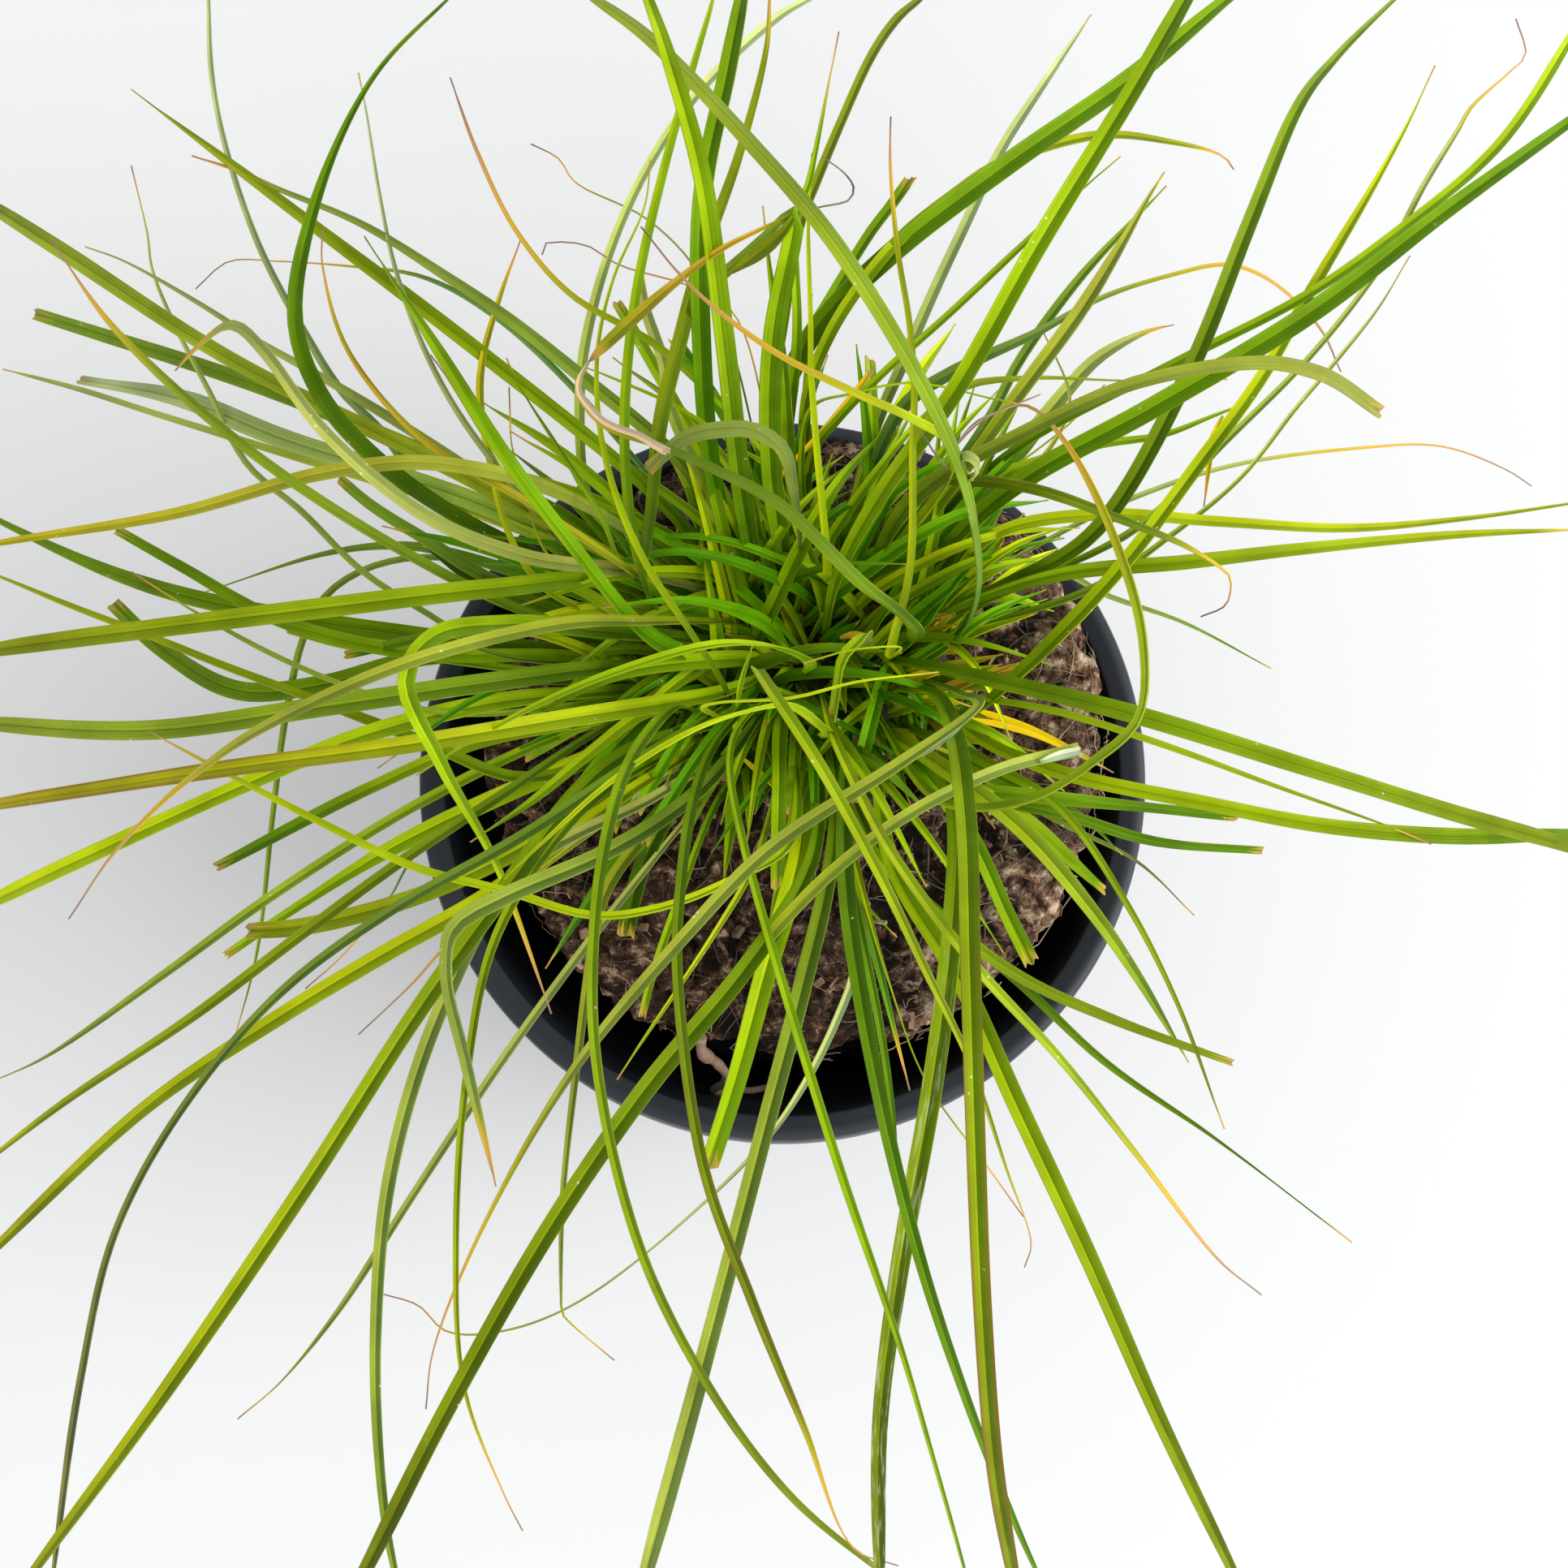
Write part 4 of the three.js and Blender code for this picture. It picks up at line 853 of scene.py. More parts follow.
         (1439, 919), (1574, 969), (1708, 1017), (1764, 1040)]),
        ((2.3, 2.4, 1.7, 1.8), "green>deep", 0.02, "cut", 150, 128, [(1151, 966), (1260, 980), (1394, 993),
         (1522, 1006)]),
        ((1.9, 2.1, 1.5, 1.6), "deep", 0.02, "cut", 148, 128, [(1200, 980), (1305, 1002), (1417, 1035),
         (1556, 1047)]),
        ((3.0, 2.9, 2.8, 1.5), "bright>green", 0.05, "cut", 150, 135, [(1178, 963), (1258, 1008),
         (1325, 1067), (1360, 1097)]),
        ((1.9, 1.6, 1.2, 0.4), "dim", 0.03, "fine", 150, 138, [(1270, 980), (1327, 1002), (1382, 1053)]),
        ((1.0, 1.0, 0.5, 0.2), "fresh>ash", 0.05, "fine", 140, 120, [(1300, 1010), (1399, 1060),
         (1471, 1127)]),
        ((1.4, 0.8, 0.5, 0.3), "pale>deep", 0.03, "fine", 145, 120, [(1290, 700), (1363, 733), (1456, 766),
         (1565, 823)]),
    ],
    "fine_leaves_back": [
        ((2.2, 1.6, 1.3, 1.2), "green>fresh", 0.03, "fine", 220, 210, [(798, 740), (776, 650), (769, 515),
         (783, 367), (822, 194), (861, 59), (878, 1), (887, -40)]),
        ((2.3, 2.6, 1.5, 1.0), "emerald>olive", 0.08, "fine", 225, 205, [(790, 720), (799, 627), (813, 511),
         (837, 417), (861, 326), (909, 192), (944, 58), (948, 0), (950, -40)]),
        ((1.8, 1.7, 1.7, 1.8), "meadow>mist", 0.0, "fine", 150, 118, [(736, 640), (714, 500), (732, 375),
         (782, 238), (858, 118), (960, 21), (999, -2), (1039, -31)]),
        ((2.6, 1.8, 1.1, 0.3), "green>grass", 0.1, "fine", 225, 210, [(969, 560), (982, 400), (980, 270),
         (995, 229), (1006, 179), (1020, 108), (1033, 40)]),
        ((1.7, 1.1, 0.8, 0.6), "bright", 0.04, "fine", 215, 200, [(1019, 700), (1015, 645), (1005, 538),
         (999, 448), (999, 403), (996, 273), (1001, 188)]),
        ((1.3, 1.2, 0.5, 0.6), "bright>lime", 0.03, "fine", 210, 195, [(960, 601), (899, 542), (845, 506),
         (764, 469), (724, 453)]),
        ((2.2, 2.2, 1.9, 2.1), "deep>dim", 0.02, "cut", 190, 180, [(934, 581), (974, 450), (1015, 383),
         (1073, 289), (1100, 254), (1123, 221)]),
        ((1.8, 2.0, 1.9, 1.0), "lime>olive", 0.06, "fine", 215, 170, [(987, 560), (1004, 453), (1048, 368),
         (1106, 297), (1175, 241), (1229, 205), (1350, 169), (1439, 176), (1507, 194), (1519, 209)]),
        ((0.9, 0.9, 0.9, 1.0), "yellow", 0.3, "cut", 170, 165, [(940, 640), (961, 587), (1011, 533),
         (1060, 475), (1073, 457)]),
        ((1.7, 1.2, 0.9, 0.8), "bright>olive", 0.12, "fine", 240, 225, [(1100, 791), (1123, 684),
        (1125, 538),
         (1127, 484), (1121, 399), (1106, 305), (1097, 197), (1098, 143)]),
        ((1.7, 1.2, 1.1, 0.2), "lime>green", 0.03, "fine", 185, 165, [(1001, 560), (1033, 515), (1096, 452),
         (1167, 389), (1264, 298), (1334, 233), (1380, 194)]),
        ((2.0, 1.9, 1.6, 1.0), "sage>mist", 0.03, "fine", 165, 130, [(1081, 520), (1110, 452), (1151, 358),
         (1191, 273), (1231, 189), (1283, 108), (1344, 19)]),
        ((0.4, 0.4, 0.3, 0.2), "dusk>pale", 0.2, "fine", 150, 125, [(894, 403), (852, 324), (795, 269),
         (709, 225), (689, 196), (655, 178)]),
        ((1.1, 1.1, 0.6, 0.4), "deep>bright", 0.03, "fine", 225, 195, [(891, 844), (855, 786), (792, 688),
         (761, 618), (739, 529), (736, 430), (756, 341), (794, 254), (801, 197)]),
        ((2.1, 1.7, 1.1, 0.5), "bright", 0.25, "fine", 262, 246, [(1180, 560), (1118, 511),
         (1056, 484), (957, 435), (872, 372), (832, 332), (789, 279)]),
        ((0.2, 0.3, 0.2, 0.2), "straw>gold", 0.7, "fine", 200, 190, [(900, 381), (850, 353), (763, 327),
         (720, 302), (667, 303), (669, 314)]),
        ((2.0, 1.9, 1.9, 1.9), "bright>grass", 0.02, "cut", 190, 178, [(856, 542), (805, 450), (774, 396),
         (761, 374)]),
        ((1.8, 1.8, 1.7, 1.9), "bright>pale", 0.05, "cut", 200, 190, [(825, 501), (818, 449), (796, 381),
         (789, 341)]),
        ((2.4, 2.0, 1.6, 0.5), "fresh>green", 0.03, "fine", 215, 205, [(971, 560), (969, 502), (966, 457),
         (949, 336), (940, 255)]),
        ((0.5, 1.2, 2.4, 2.6), "ash>reed", 0.06, "cut", 235, 215, [(980, 620), (957, 547), (926, 529),
         (876, 529), (841, 538), (794, 578)]),
        ((2.9, 2.5, 1.4, 0.7), "grass>fern", 0.12, "fine", 245, 215, [(1122, 772), (1100, 752), (1060, 720),
         (962, 623), (881, 578), (814, 549), (742, 524), (709, 479), (720, 449)]),
        ((1.9, 2.1, 0.9, 0.2), "olive>dusk", 0.2, "fine", 222, 175, [(1140, 600), (1208, 591), (1287, 605),
         (1394, 645), (1461, 673), (1510, 705), (1515, 713), (1510, 744), (1479, 759)]),
        ((1.2, 1.0, 0.6, 0.3), "dusk>lime", 0.02, "fine", 215, 210, [(1000, 500), (1047, 484), (1123, 470),
         (1226, 491), (1257, 497)]),
        ((2.2, 2.1, 2.1, 2.0), "pale>lime", 0.0, "cut", 215, 200, [(1060, 790), (1042, 809), (1035, 845),
         (1029, 881)]),
        ((0.9, 0.7, 0.4, 0.2), "green>bright", 0.02, "fine", 235, 232, [(1089, 798), (1047, 802),
         (991, 818)]),
        ((1.4, 1.2, 0.7, 0.3), "bright", 0.02, "fine", 235, 228, [(890, 867), (979, 861), (1056, 841),
         (1156, 829)]),
        ((1.6, 1.7, 1.7, 1.7), "moss", 0.0, "fine", 190, 130, [(935, 640), (945, 520), (965, 400),
         (985, 280), (1006, 225), (1035, 155), (1074, 70), (1105, 25), (1133, 0), (1160, -30)]),
    ],
}


# ---- where the leaves grow ----
CROWN_REACH = 0.85  # how far out a finer leaf may grow, as a share of the crown
START_RISE = 20  # how high above the crown the course of a finer leaf starts
PEAK_SHARE = 0.42  # where a finer leaf is highest, as a share of its length
RISE_CURVE = 0.75
FALL_CURVE = 1.7
SHORTEST_RUN = 4  # a first point that is nearer to the foot than this is left out


def on_crown(point):
    """The nearest place on the crown, kept a little inside its edge."""
    u = (point.x - CROWN_CENTRE[0]) / CROWN_RADII[0]
    v = (point.y - CROWN_CENTRE[1]) / CROWN_RADII[1]
    reach = max(1.0, math.hypot(u, v) / CROWN_REACH)
    x = CROWN_CENTRE[0] + u / reach * CROWN_RADII[0]
    y = CROWN_CENTRE[1] + v / reach * CROWN_RADII[1]
    return Vector((x, y, crown_height(x, y)))


def in_crown(reach, angle):
    """A place in the crown seen from above: reach 0 is its middle, 1 its edge."""
    x = CROWN_CENTRE[0] + reach * CROWN_RADII[0] * math.cos(angle)
    y = CROWN_CENTRE[1] + reach * CROWN_RADII[1] * math.sin(angle)
    return x, y


def towards(angle):
    return Vector((math.cos(angle), math.sin(angle), 0))


def arched_course(sheet_points, top, end):
    """Heights for a course on the sheet: up from the crown to its highest point, then down to its end."""
    foot = on_crown(on_sheet(*sheet_points[0], BALL_TOP + CROWN_HEIGHT + START_RISE))
    flat = [Vector((foot.x, foot.y)), *(on_sheet(x, y, top).to_2d() for x, y in sheet_points)]
    runs = [0.0]
    for a, b in zip(flat, flat[1:]):
        runs.append(runs[-1] + (b - a).length)
    course = [foot]
    for run, (x, y) in zip(runs[1:], sheet_points):
        share = run / runs[-1]
        if share < PEAK_SHARE:
            height = foot.z + (top - foot.z) * math.sin(math.pi / 2 * share / PEAK_SHARE) ** RISE_CURVE
        else:
            height = top - (top - end) * ((share - PEAK_SHARE) / (1 - PEAK_SHARE)) ** FALL_CURVE
        course.append(on_sheet(x, y, height))
    if (course[1] - course[0]).length < SHORTEST_RUN:
        course.pop(1)
    return course


# Loose and broken bits: name, width in mm, look, dry share, tip and course on the sheet with heights.
BROKEN_BITS = [
    ("dead_leaf_on_soil", 2.6, "yellow", 0.12, "fine",
     [(1105, 852, 139), (1186, 876, 131), (1266, 899, 126.5), (1320, 924, 124), (1372, 952, 123)]),
    ("cut_clipping", 2.0, "bright>reed", 0.0, "torn",
     [(867, 1268, 168), (903, 1212, 184), (953, 1150, 199), (1033, 1069, 214), (1123, 1002, 222),
      (1230, 950, 217), (1328, 925, 206)]),
    ("dead_strip", (1.1, 1.6, 2.1, 1.6), "straw>olive", 0.14, "fine",
     [(979, 264, 256), (938, 283, 257), (894, 305, 254), (832, 349, 244), (764, 408, 228),
     (726, 446, 216)]),
    ("bent_flap", 2.3, "moss>olive", 0.0, "fine",
     [(979, 268, 259), (968, 283, 258), (945, 303, 252), (920, 322, 246), (895, 340, 239)]),
    # painted highlight: a pale bluish-white strip laid over the bend of leaf_front_4
    ("folded_edge", 0.8, "frost", 0.0, "fine",
     [(1136, 932, 210), (1164, 912, 211), (1183, 896, 211), (1191, 884, 210)]),
    # painted highlight: a pale bluish-white strip laid over the end of cut_clipping
    ("torn_end", 1.3, "frost", 0.0, "torn",
     [(1280, 939, 213.5), (1300, 932, 211.5), (1329, 925, 207.5)]),
    ("papery_curl", 1.3, "husk", 0.0, "torn",
     [(724, 449, 217), (714, 466, 219), (712, 483, 222), (722, 500, 226), (743, 521, 231), (764, 531, 234),
      (786, 538, 237), (807, 550, 240), (824, 559, 242)]),
    ("broken_top_curl", 1.5, "pale", 0.2, "cut",
     [(1196, 590, 245), (1180, 574, 250), (1187, 560, 254), (1203, 566, 254), (1206, 584, 250),
     (1190, 594, 246)]),
    ("orange_strip", 1.2, "yellow", 0.4, "fine",
     [(1507, 512, 162), (1495, 536, 160), (1490, 575, 154), (1484, 623, 147)]),
    ("small_curl", 0.7, "grass", 0.1, "fine",
     [(1040, 1040, 150), (1053, 1078, 150), (1060, 1105, 148), (1078, 1127, 147), (1105, 1154, 143)]),
    ("young_yellow_leaf", 1.6, "yellow", 0.04, "fine",
     [(1100, 836, 140), (1150, 822, 146), (1200, 836, 144), (1240, 862, 138)]),
    ("yellow_sheath_front", 2.6, "bright", 0.1, "fine",
     [(1098, 880, 140), (1130, 868, 147), (1165, 858, 149), (1198, 852, 146)]),
    ("yellow_sheath_low", 2.4, "gold", 0.15, "fine",
     [(1086, 902, 139), (1120, 908, 144), (1152, 918, 144), (1186, 938, 139)]),
    ("yellow_sheath_back", 2.2, "gold", 0.1, "fine",
     [(1092, 856, 141), (1122, 838, 148), (1158, 828, 150), (1190, 830, 147)]),
    ("orange_bit_front", 1.0, "yellow", 0.5, "cut",
     [(910, 930, 152), (935, 952, 149), (964, 978, 145)]),
    ("orange_bit_left", 0.8, "yellow", 0.4, "cut",
     [(853, 1012, 140), (849, 1028, 139), (844, 1044, 137)]),
    ("brown_bit", 1.3, "straw", 0.6, "cut",
     [(1036, 786, 158), (1056, 782, 159), (1074, 788, 158)]),
    ("young_tip", 0.9, "fresh", 0.04, "fine",
     [(908, 868, 226), (915, 834, 232), (928, 794, 238)]),
    ("cream_husk", 2.6, "mist", 0.0, "torn",
     [(1118, 856, 147), (1130, 866, 146), (1140, 876, 144)]),
]
THREADS = [
    [(985, 262, 257), (1011, 255, 260), (1047, 246, 262), (1052, 233, 262), (1042, 215, 260),
    (1013, 193, 256)],
    [(1168, 578, 247), (1150, 556, 250), (1140, 540, 252), (1130, 529, 253)],
    [(1165, 567, 250), (1180, 545, 253), (1203, 520, 254), (1248, 500, 252), (1282, 486, 249)],
]
BIT_STEP = 1.6
THREAD_STEP = 1.2
THREAD_RADIUS = 0.16


def make_broken_bits():
    strips = []
    for name, width, look, dry, tip, sheet_points in BROKEN_BITS:
        course = [on_sheet(*p) for p in sheet_points]
        strips.append(leaf_strip(name, course, width, look, dry, tip, step=BIT_STEP))
    leaves_piece("broken_leaf_bits", strips)
    courses = [smooth_course([on_sheet(*p) for p in points], THREAD_STEP) for points in THREADS]
    finished(fibre_mesh("dry_threads", courses, [THREAD_RADIUS] * len(courses)), "leaf", PALE_FIBRE)


def make_leaves():
    for name, width, look, dry, tip, foot, sheet_points in MAIN_LEAVES:
        course = [foot_on_sheet(*foot), *(on_sheet(*p) for p in sheet_points)]
        end_x, end_y, _ = sheet_points[-1]
        if tip == "fine" and not (0 < end_x < IMAGE_SIDE and 0 < end_y < IMAGE_SIDE):
            tip = "long"
        strip = leaf_strip(name.replace("blade", "leaf"), course, width, look, dry, tip)
        leaves_piece(strip.name, [strip], replaces=[name])
    for group, rows in FINE_LEAVES.items():
        strips = []
        for number, (width, look, dry, tip, top, end, sheet_points) in enumerate(rows):
            course = arched_course(sheet_points, top, end)
            strips.append(leaf_strip(f"{group}_{number}", course, width, look, dry, tip))
        leaves_piece(group, strips)


INNER_LEAVES = 160
INNER_REACH = 52  # how far they lean
INNER_RIGHT = 45  # where they end on the right
INNER_LENGTHS = (32, 92)
INNER_WIDTHS = (1.7, 3.1)
INNER_LOOKS = ("bright", "lime", "lime", "fresh", "spring", "spring", "vivid", "vivid", "grass", "dim")
INNER_DRY = (0.0, 0.01, 0.02, 0.06)
INNER_TIPS = ("fine", "fine", "fine", "cut")


def room_for(heading):
    """How many of the young leaves may lean this way: few over the open soil in front and on the right."""
    turn = math.degrees(heading) % 360
    if turn < 25 or 270 < turn:
        return 0.4
    if 190 < turn:
        return 0.7
    return 1.0


def make_inner_leaves():
    """Short young leaves that fill the middle of the clump."""
    rng = random.Random(7)
    strips = []
    while len(strips) < INNER_LEAVES:
        angle = rng.uniform(0, FULL_TURN)
        reach = math.sqrt(rng.uniform(0.0, 0.95))
        heading = angle + rng.gauss(0, 1.1)
        if rng.random() > room_for(heading):
            continue
        foot = Vector((*in_crown(reach, angle), 0))
        foot.z = crown_height(foot.x, foot.y) - 1
        out = towards(heading)
        front, back = max(0.0, -math.sin(heading)), max(0.0, math.sin(heading))
        length = rng.uniform(*INNER_LENGTHS) * (1 - 0.5 * front - 0.25 * back)
        lean = rng.uniform(0.4, 1.0)
        length = min(length, INNER_REACH / lean, (INNER_RIGHT - foot.x) / (lean * max(out.x, 0.1)))
        rise = length * rng.uniform(0.45, 0.85)
        droop = rng.uniform(0.1, 0.55) * length * lean
        bend = out.cross(UP) * rng.uniform(-0.2, 0.2) * length
        over = out * length * lean
        course = [foot, foot + over * 0.2 + UP * (rise * 0.5), foot + over * 0.6 + bend * 0.5 + UP * rise,
                  foot + over + bend + UP * (rise * 1.1 - droop)]
        look, dry, tip = rng.choice(INNER_LOOKS), rng.choice(INNER_DRY), rng.choice(INNER_TIPS)
        if out.x > 0.2:
            tip = "fine"
        strips.append(leaf_strip(f"inner_{len(strips)}", course, rng.uniform(*INNER_WIDTHS), look, dry, tip))
    leaves_piece("inner_leaves", strips)


# ---- crown ----
MOUND_DEPTH = 4  # how deep its foot sinks into the soil
MOUND_SHARE = 0.7  # its height as a share of the crown's
SHEATHS = 150
SHEATH_DEPTH = 6
SHEATH_LENGTHS = (13, 30)
SHEATH_WIDTHS = (2.2, 4.0)
SHEATH_LOOKS = ("bright", "lime", "fresh", "spring", "vivid", "green", "dim", "olive")
YELLOW_SHEATHS = ("gold", "lime", "straw")


def make_mound():
    """A low mound of litter under the sheaths; its near-black colour is painted shade deep in the crown."""
    bpy.ops.mesh.primitive_uv_sphere_add(segments=96, ring_count=48, radius=1)
    mound = named("crown_mound")
    for vertex in mound.data.vertices:
        x = CROWN_CENTRE[0] + vertex.co.x * CROWN_RADII[0]
        y = CROWN_CENTRE[1] + vertex.co.y * CROWN_RADII[1]
        lump = noise.fractal(Vector((x, y, 0)) * 0.3, 1.0, 2.0, 4) * 2.0
        z = soil_height(y) - MOUND_DEPTH + max(vertex.co.z, -0.2) * (CROWN_HEIGHT * MOUND_SHARE + lump)
        vertex.co = Vector((x, y, z)) * MM
    finished(mound, "sheath", LITTER_AND_SHADE)


def make_crown():
    """The mound, hidden by the folded sheaths that wrap the foot of each shoot."""
    rng = random.Random(3)
    make_mound()
    strips = []
    for number in range(SHEATHS):
        angle = rng.uniform(0, FULL_TURN)
        reach = math.sqrt(rng.uniform(0.0, 1.0))
        x, y = in_crown(reach, angle)
        foot = Vector((x, y, crown_height(x, y) - SHEATH_DEPTH))
        tall = rng.uniform(*SHEATH_LENGTHS)
        turn = angle + rng.gauss(0, 0.5)
        out = towards(turn) * tall * (0.15 + 0.75 * reach * rng.uniform(0.5, 1.1))
        course = [foot, foot + out * 0.3 + UP * (tall * 0.5), foot + out + UP * (tall * 0.85)]
        yellow = math.cos(angle) * reach > 0.35 and rng.random() < 0.6
        look = rng.choice(YELLOW_SHEATHS if yellow else SHEATH_LOOKS)
        width = rng.uniform(*SHEATH_WIDTHS)
        strips.append(leaf_strip(f"sheath_{number}", course, width, look, 0.06, "fine", fold=38, step=3.5))
    leaves_piece("crown_sheaths", strips, "sheath", ["crown"])


# ---- root ball ----
BALL_SEGMENTS = 300
BALL_RINGS = 150
# Radius and height on the root ball, and the share of the way from its foot to its top where each one is.
BALL_PROFILE = [(0, 2.4), (36.5, 2.4), (38.5, 5), (51.5, 96), (54.3, 113), (53.2, 120), (49, 123), (0, 123)]
BALL_SHARES = (0.0, 0.08, 0.10, 0.34, 0.44, 0.48, 0.52, 1.0)
BALL_MIDDLE = Vector((*BALL_CENTRE, 80))
SHEAR_FOOT = 96  # from here up the ball leans with the slope of the soil
RELIEF_DEPTHS = (-4.0, 2.6)
RELIEF_SINK = 0.8
SOIL_LOWEST = 0.09  # in metres: lower down a ray has missed the soil
SOIL_REACH = 53.0
RAY_HEIGHT = 300


def ball_surface(share, angle):
    """A place on the root ball: share 0 is the middle of its foot, 1 the middle of its top."""
    r = np.interp(share, BALL_SHARES, [p[0] for p in BALL_PROFILE])
    z = np.interp(share, BALL_SHARES, [p[1] for p in BALL_PROFILE])
    x = BALL_CENTRE[0] + r * math.cos(angle)
    y = BALL_CENTRE[1] + r * math.sin(angle)
    sheared = max(0.0, (z - SHEAR_FOOT) / (BALL_TOP - SHEAR_FOOT))
    return Vector((x, y, z + SOIL_SLOPE * y * sheared))


def soil_relief(p):
    broad = noise.fractal(p * 0.045, 1.0, 2.0, 3) * 2.4
    clods = (noise.turbulence(p * 0.11, 4, True) - 0.45) * 4.2
    crumbs = noise.fractal(p * 0.55, 0.8, 2.0, 3) * 1.0
    lowest, highest = RELIEF_DEPTHS
    return max(lowest, min(highest, broad + clods + crumbs))


def make_root_ball():
    bpy.ops.mesh.primitive_uv_sphere_add(segments=BALL_SEGMENTS, ring_count=BALL_RINGS, radius=1)
    ball = named("peat_ball")
    hollow_shades = []
    for vertex in ball.data.vertices:
        share = 1 - math.acos(max(-1.0, min(1.0, vertex.co.z))) / math.pi
        smooth_place = ball_surface(share, math.atan2(vertex.co.y, vertex.co.x))
        out = (smooth_place - BALL_MIDDLE).normalized()
        relief = soil_relief(smooth_place)
        # painted shade: the deeper a place lies in the relief, the darker the peat is painted
        hollow_shades.append(max(0.0, min(1.0, 0.4 - relief * 0.32)))
        vertex.co = (smooth_place + out * (relief - RELIEF_SINK) * min(1.0, share / 0.3)) * MM
    hollow_shade = ball.data.attributes.new("hollow_shade", "FLOAT", "POINT")
    hollow_shade.data.foreach_set("value", hollow_shades)
    return finished(ball, "peat", PEAT, replaces=["root_ball"])


def seen_from_above(ball, x, y):
    """The place in metres and the normal of the soil under a point, or None where there is no soil."""
    found, where, normal, _ = ball.ray_cast(Vector((x, y, RAY_HEIGHT)) * MM, DOWN)
    return (where, normal) if found and where.z > SOIL_LOWEST else None


def on_soil(ball, rng):
    """A random place on the soil with its normal."""
    while True:
        angle, r = rng.uniform(0, FULL_TURN), SOIL_REACH * math.sqrt(rng.random())
        x, y = BALL_CENTRE[0] + r * math.cos(angle), BALL_CENTRE[1] + r * math.sin(angle)
        found = seen_from_above(ball, x, y)
        if found:
            return found


# ---- what lies on the soil ----
CRUMBS = 2600
CHIP_KINDS = (("pale_chips", 190, 5, PALE_FIBRE), ("bark_chips", 240, 6, BARK))
FIBRE_KINDS = (("pale_fibres", 95, 21, 0.11, PALE_FIBRE), ("dark_fibres", 420, 22, 0.17, DARK_FIBRE))
FIBRE_POINTS = 7
FIBRE_SIDES = 4
FIBRE_STEPS = (0.7, 2.6)
FIBRE_CURL = 0.14
EDGE_ROOTS = 85
EDGE_SHARES = (0.40, 0.54)  # where on the ball they start, as a share from its foot to its top
EDGE_LENGTHS = (3, 9)
EDGE_FALL = 0.0066  # the share of the ball that one millimetre of such a root covers


def copies(name, shape, placements):
    """One mesh of many copies of a small shape; it takes the place of the shape."""
    vertices = [tuple(matrix @ v.co) for matrix in placements for v in shape.data.vertices]
    count = len(shape.data.vertices)
    corners = [tuple(p.vertices) for p in shape.data.polygons]
    faces = [tuple(i + k * count for i in face) for k in range(len(placements)) for face in corners]
    mesh = bpy.data.meshes.new(name)
    mesh.from_pydata(vertices, [], faces)
    mesh.update()
    piece = new_piece(name, mesh)
    bpy.data.objects.remove(shape)
    return piece


def turned(rng, where, normal, size, tilt=0.5):
    """A placement of this size on a surface, turned at random about its normal."""
    lean = Vector([rng.gauss(0, tilt) for _ in range(3)])
    up = (normal + lean).normalized()
    spin = Matrix.Rotation(rng.uniform(0, FULL_TURN), 4, "Z")
    turn = UP.rotation_difference(up).to_matrix().to_4x4()
    return Matrix.Translation(where) @ turn @ spin @ Matrix.Diagonal((*[s * MM for s in size], 1))


def make_crumbs(ball):
    rng = random.Random(11)
    bpy.ops.mesh.primitive_ico_sphere_add(subdivisions=1, radius=1)
    crumb = named("crumb")
    for vertex in crumb.data.vertices:
        vertex.co *= rng.uniform(0.6, 1.3)
    placements = []
    for _ in range(CRUMBS):
        where, normal = on_soil(ball, rng)
        size = 0.35 + 1.1 * rng.random() ** 3
        sizes = (size, size * rng.uniform(0.6, 1), size * rng.uniform(0.5, 0.9))
        placements.append(turned(rng, where, normal, sizes))
    finished(copies("peat_crumbs", crumb, placements), "peat", PEAT, smooth=40)


def make_chip(rng):
    """A flat splinter, bevelled from a thin block and bent a little."""
    bpy.ops.mesh.primitive_cube_add(size=2)
    chip = named("chip")
    bpy.ops.object.mode_set(mode="EDIT")
    bpy.ops.mesh.select_all(action="SELECT")
    bpy.ops.transform.resize(value=(1, 0.45, 0.16))
    bpy.ops.mesh.bevel(offset=0.1, segments=1)
    bpy.ops.object.mode_set(mode="OBJECT")
    for vertex in chip.data.vertices:
        vertex.co += Vector([rng.uniform(-0.09, 0.09) for _ in range(3)])
    return chip


def make_chips(ball):
    for name, count, seed, finish in CHIP_KINDS:
        rng = random.Random(seed)
        chip = make_chip(rng)
        placements = []
        for _ in range(count):
            where, normal = on_soil(ball, rng)
            size = 0.5 + 2.0 * rng.random() ** 3
            placements.append(turned(rng, where, normal, (size, size * rng.uniform(0.3, 0.9), size), 0.45))
        finished(copies(name, chip, placements), "peat", finish, smooth=30)


def fibre_mesh(name, courses, radii):
    """Thin tubes that narrow to both ends, one along each course."""
    mesh = bmesh.new()
    angles = [FULL_TURN * k / FIBRE_SIDES for k in range(FIBRE_SIDES)]
    for course, radius in zip(courses, radii):
        track = np.array([tuple(p) for p in course])
        along, across = leaf_frames(track)
        rings = []
        for i, (centre, a, b) in enumerate(zip(track, across, np.cross(along, across))):
            r = radius * (0.35 + 0.65 * math.sin(math.pi * (0.15 + 0.7 * i / (len(track) - 1))))
            ring = [(centre + (a * math.cos(t) + b * math.sin(t)) * r) * MM for t in angles]
            rings.append([mesh.verts.new(point) for point in ring])
        for low, high in zip(rings, rings[1:]):
            for k in range(FIBRE_SIDES):
                after = (k + 1) % FIBRE_SIDES
                mesh.faces.new((low[k], low[after], high[after], high[k]))
        mesh.faces.new(rings[0][::-1])
        mesh.faces.new(rings[-1])
    bmesh.ops.recalc_face_normals(mesh, faces=mesh.faces)
    data = bpy.data.meshes.new(name)
    mesh.to_mesh(data)
    mesh.free()
    return new_piece(name, data)


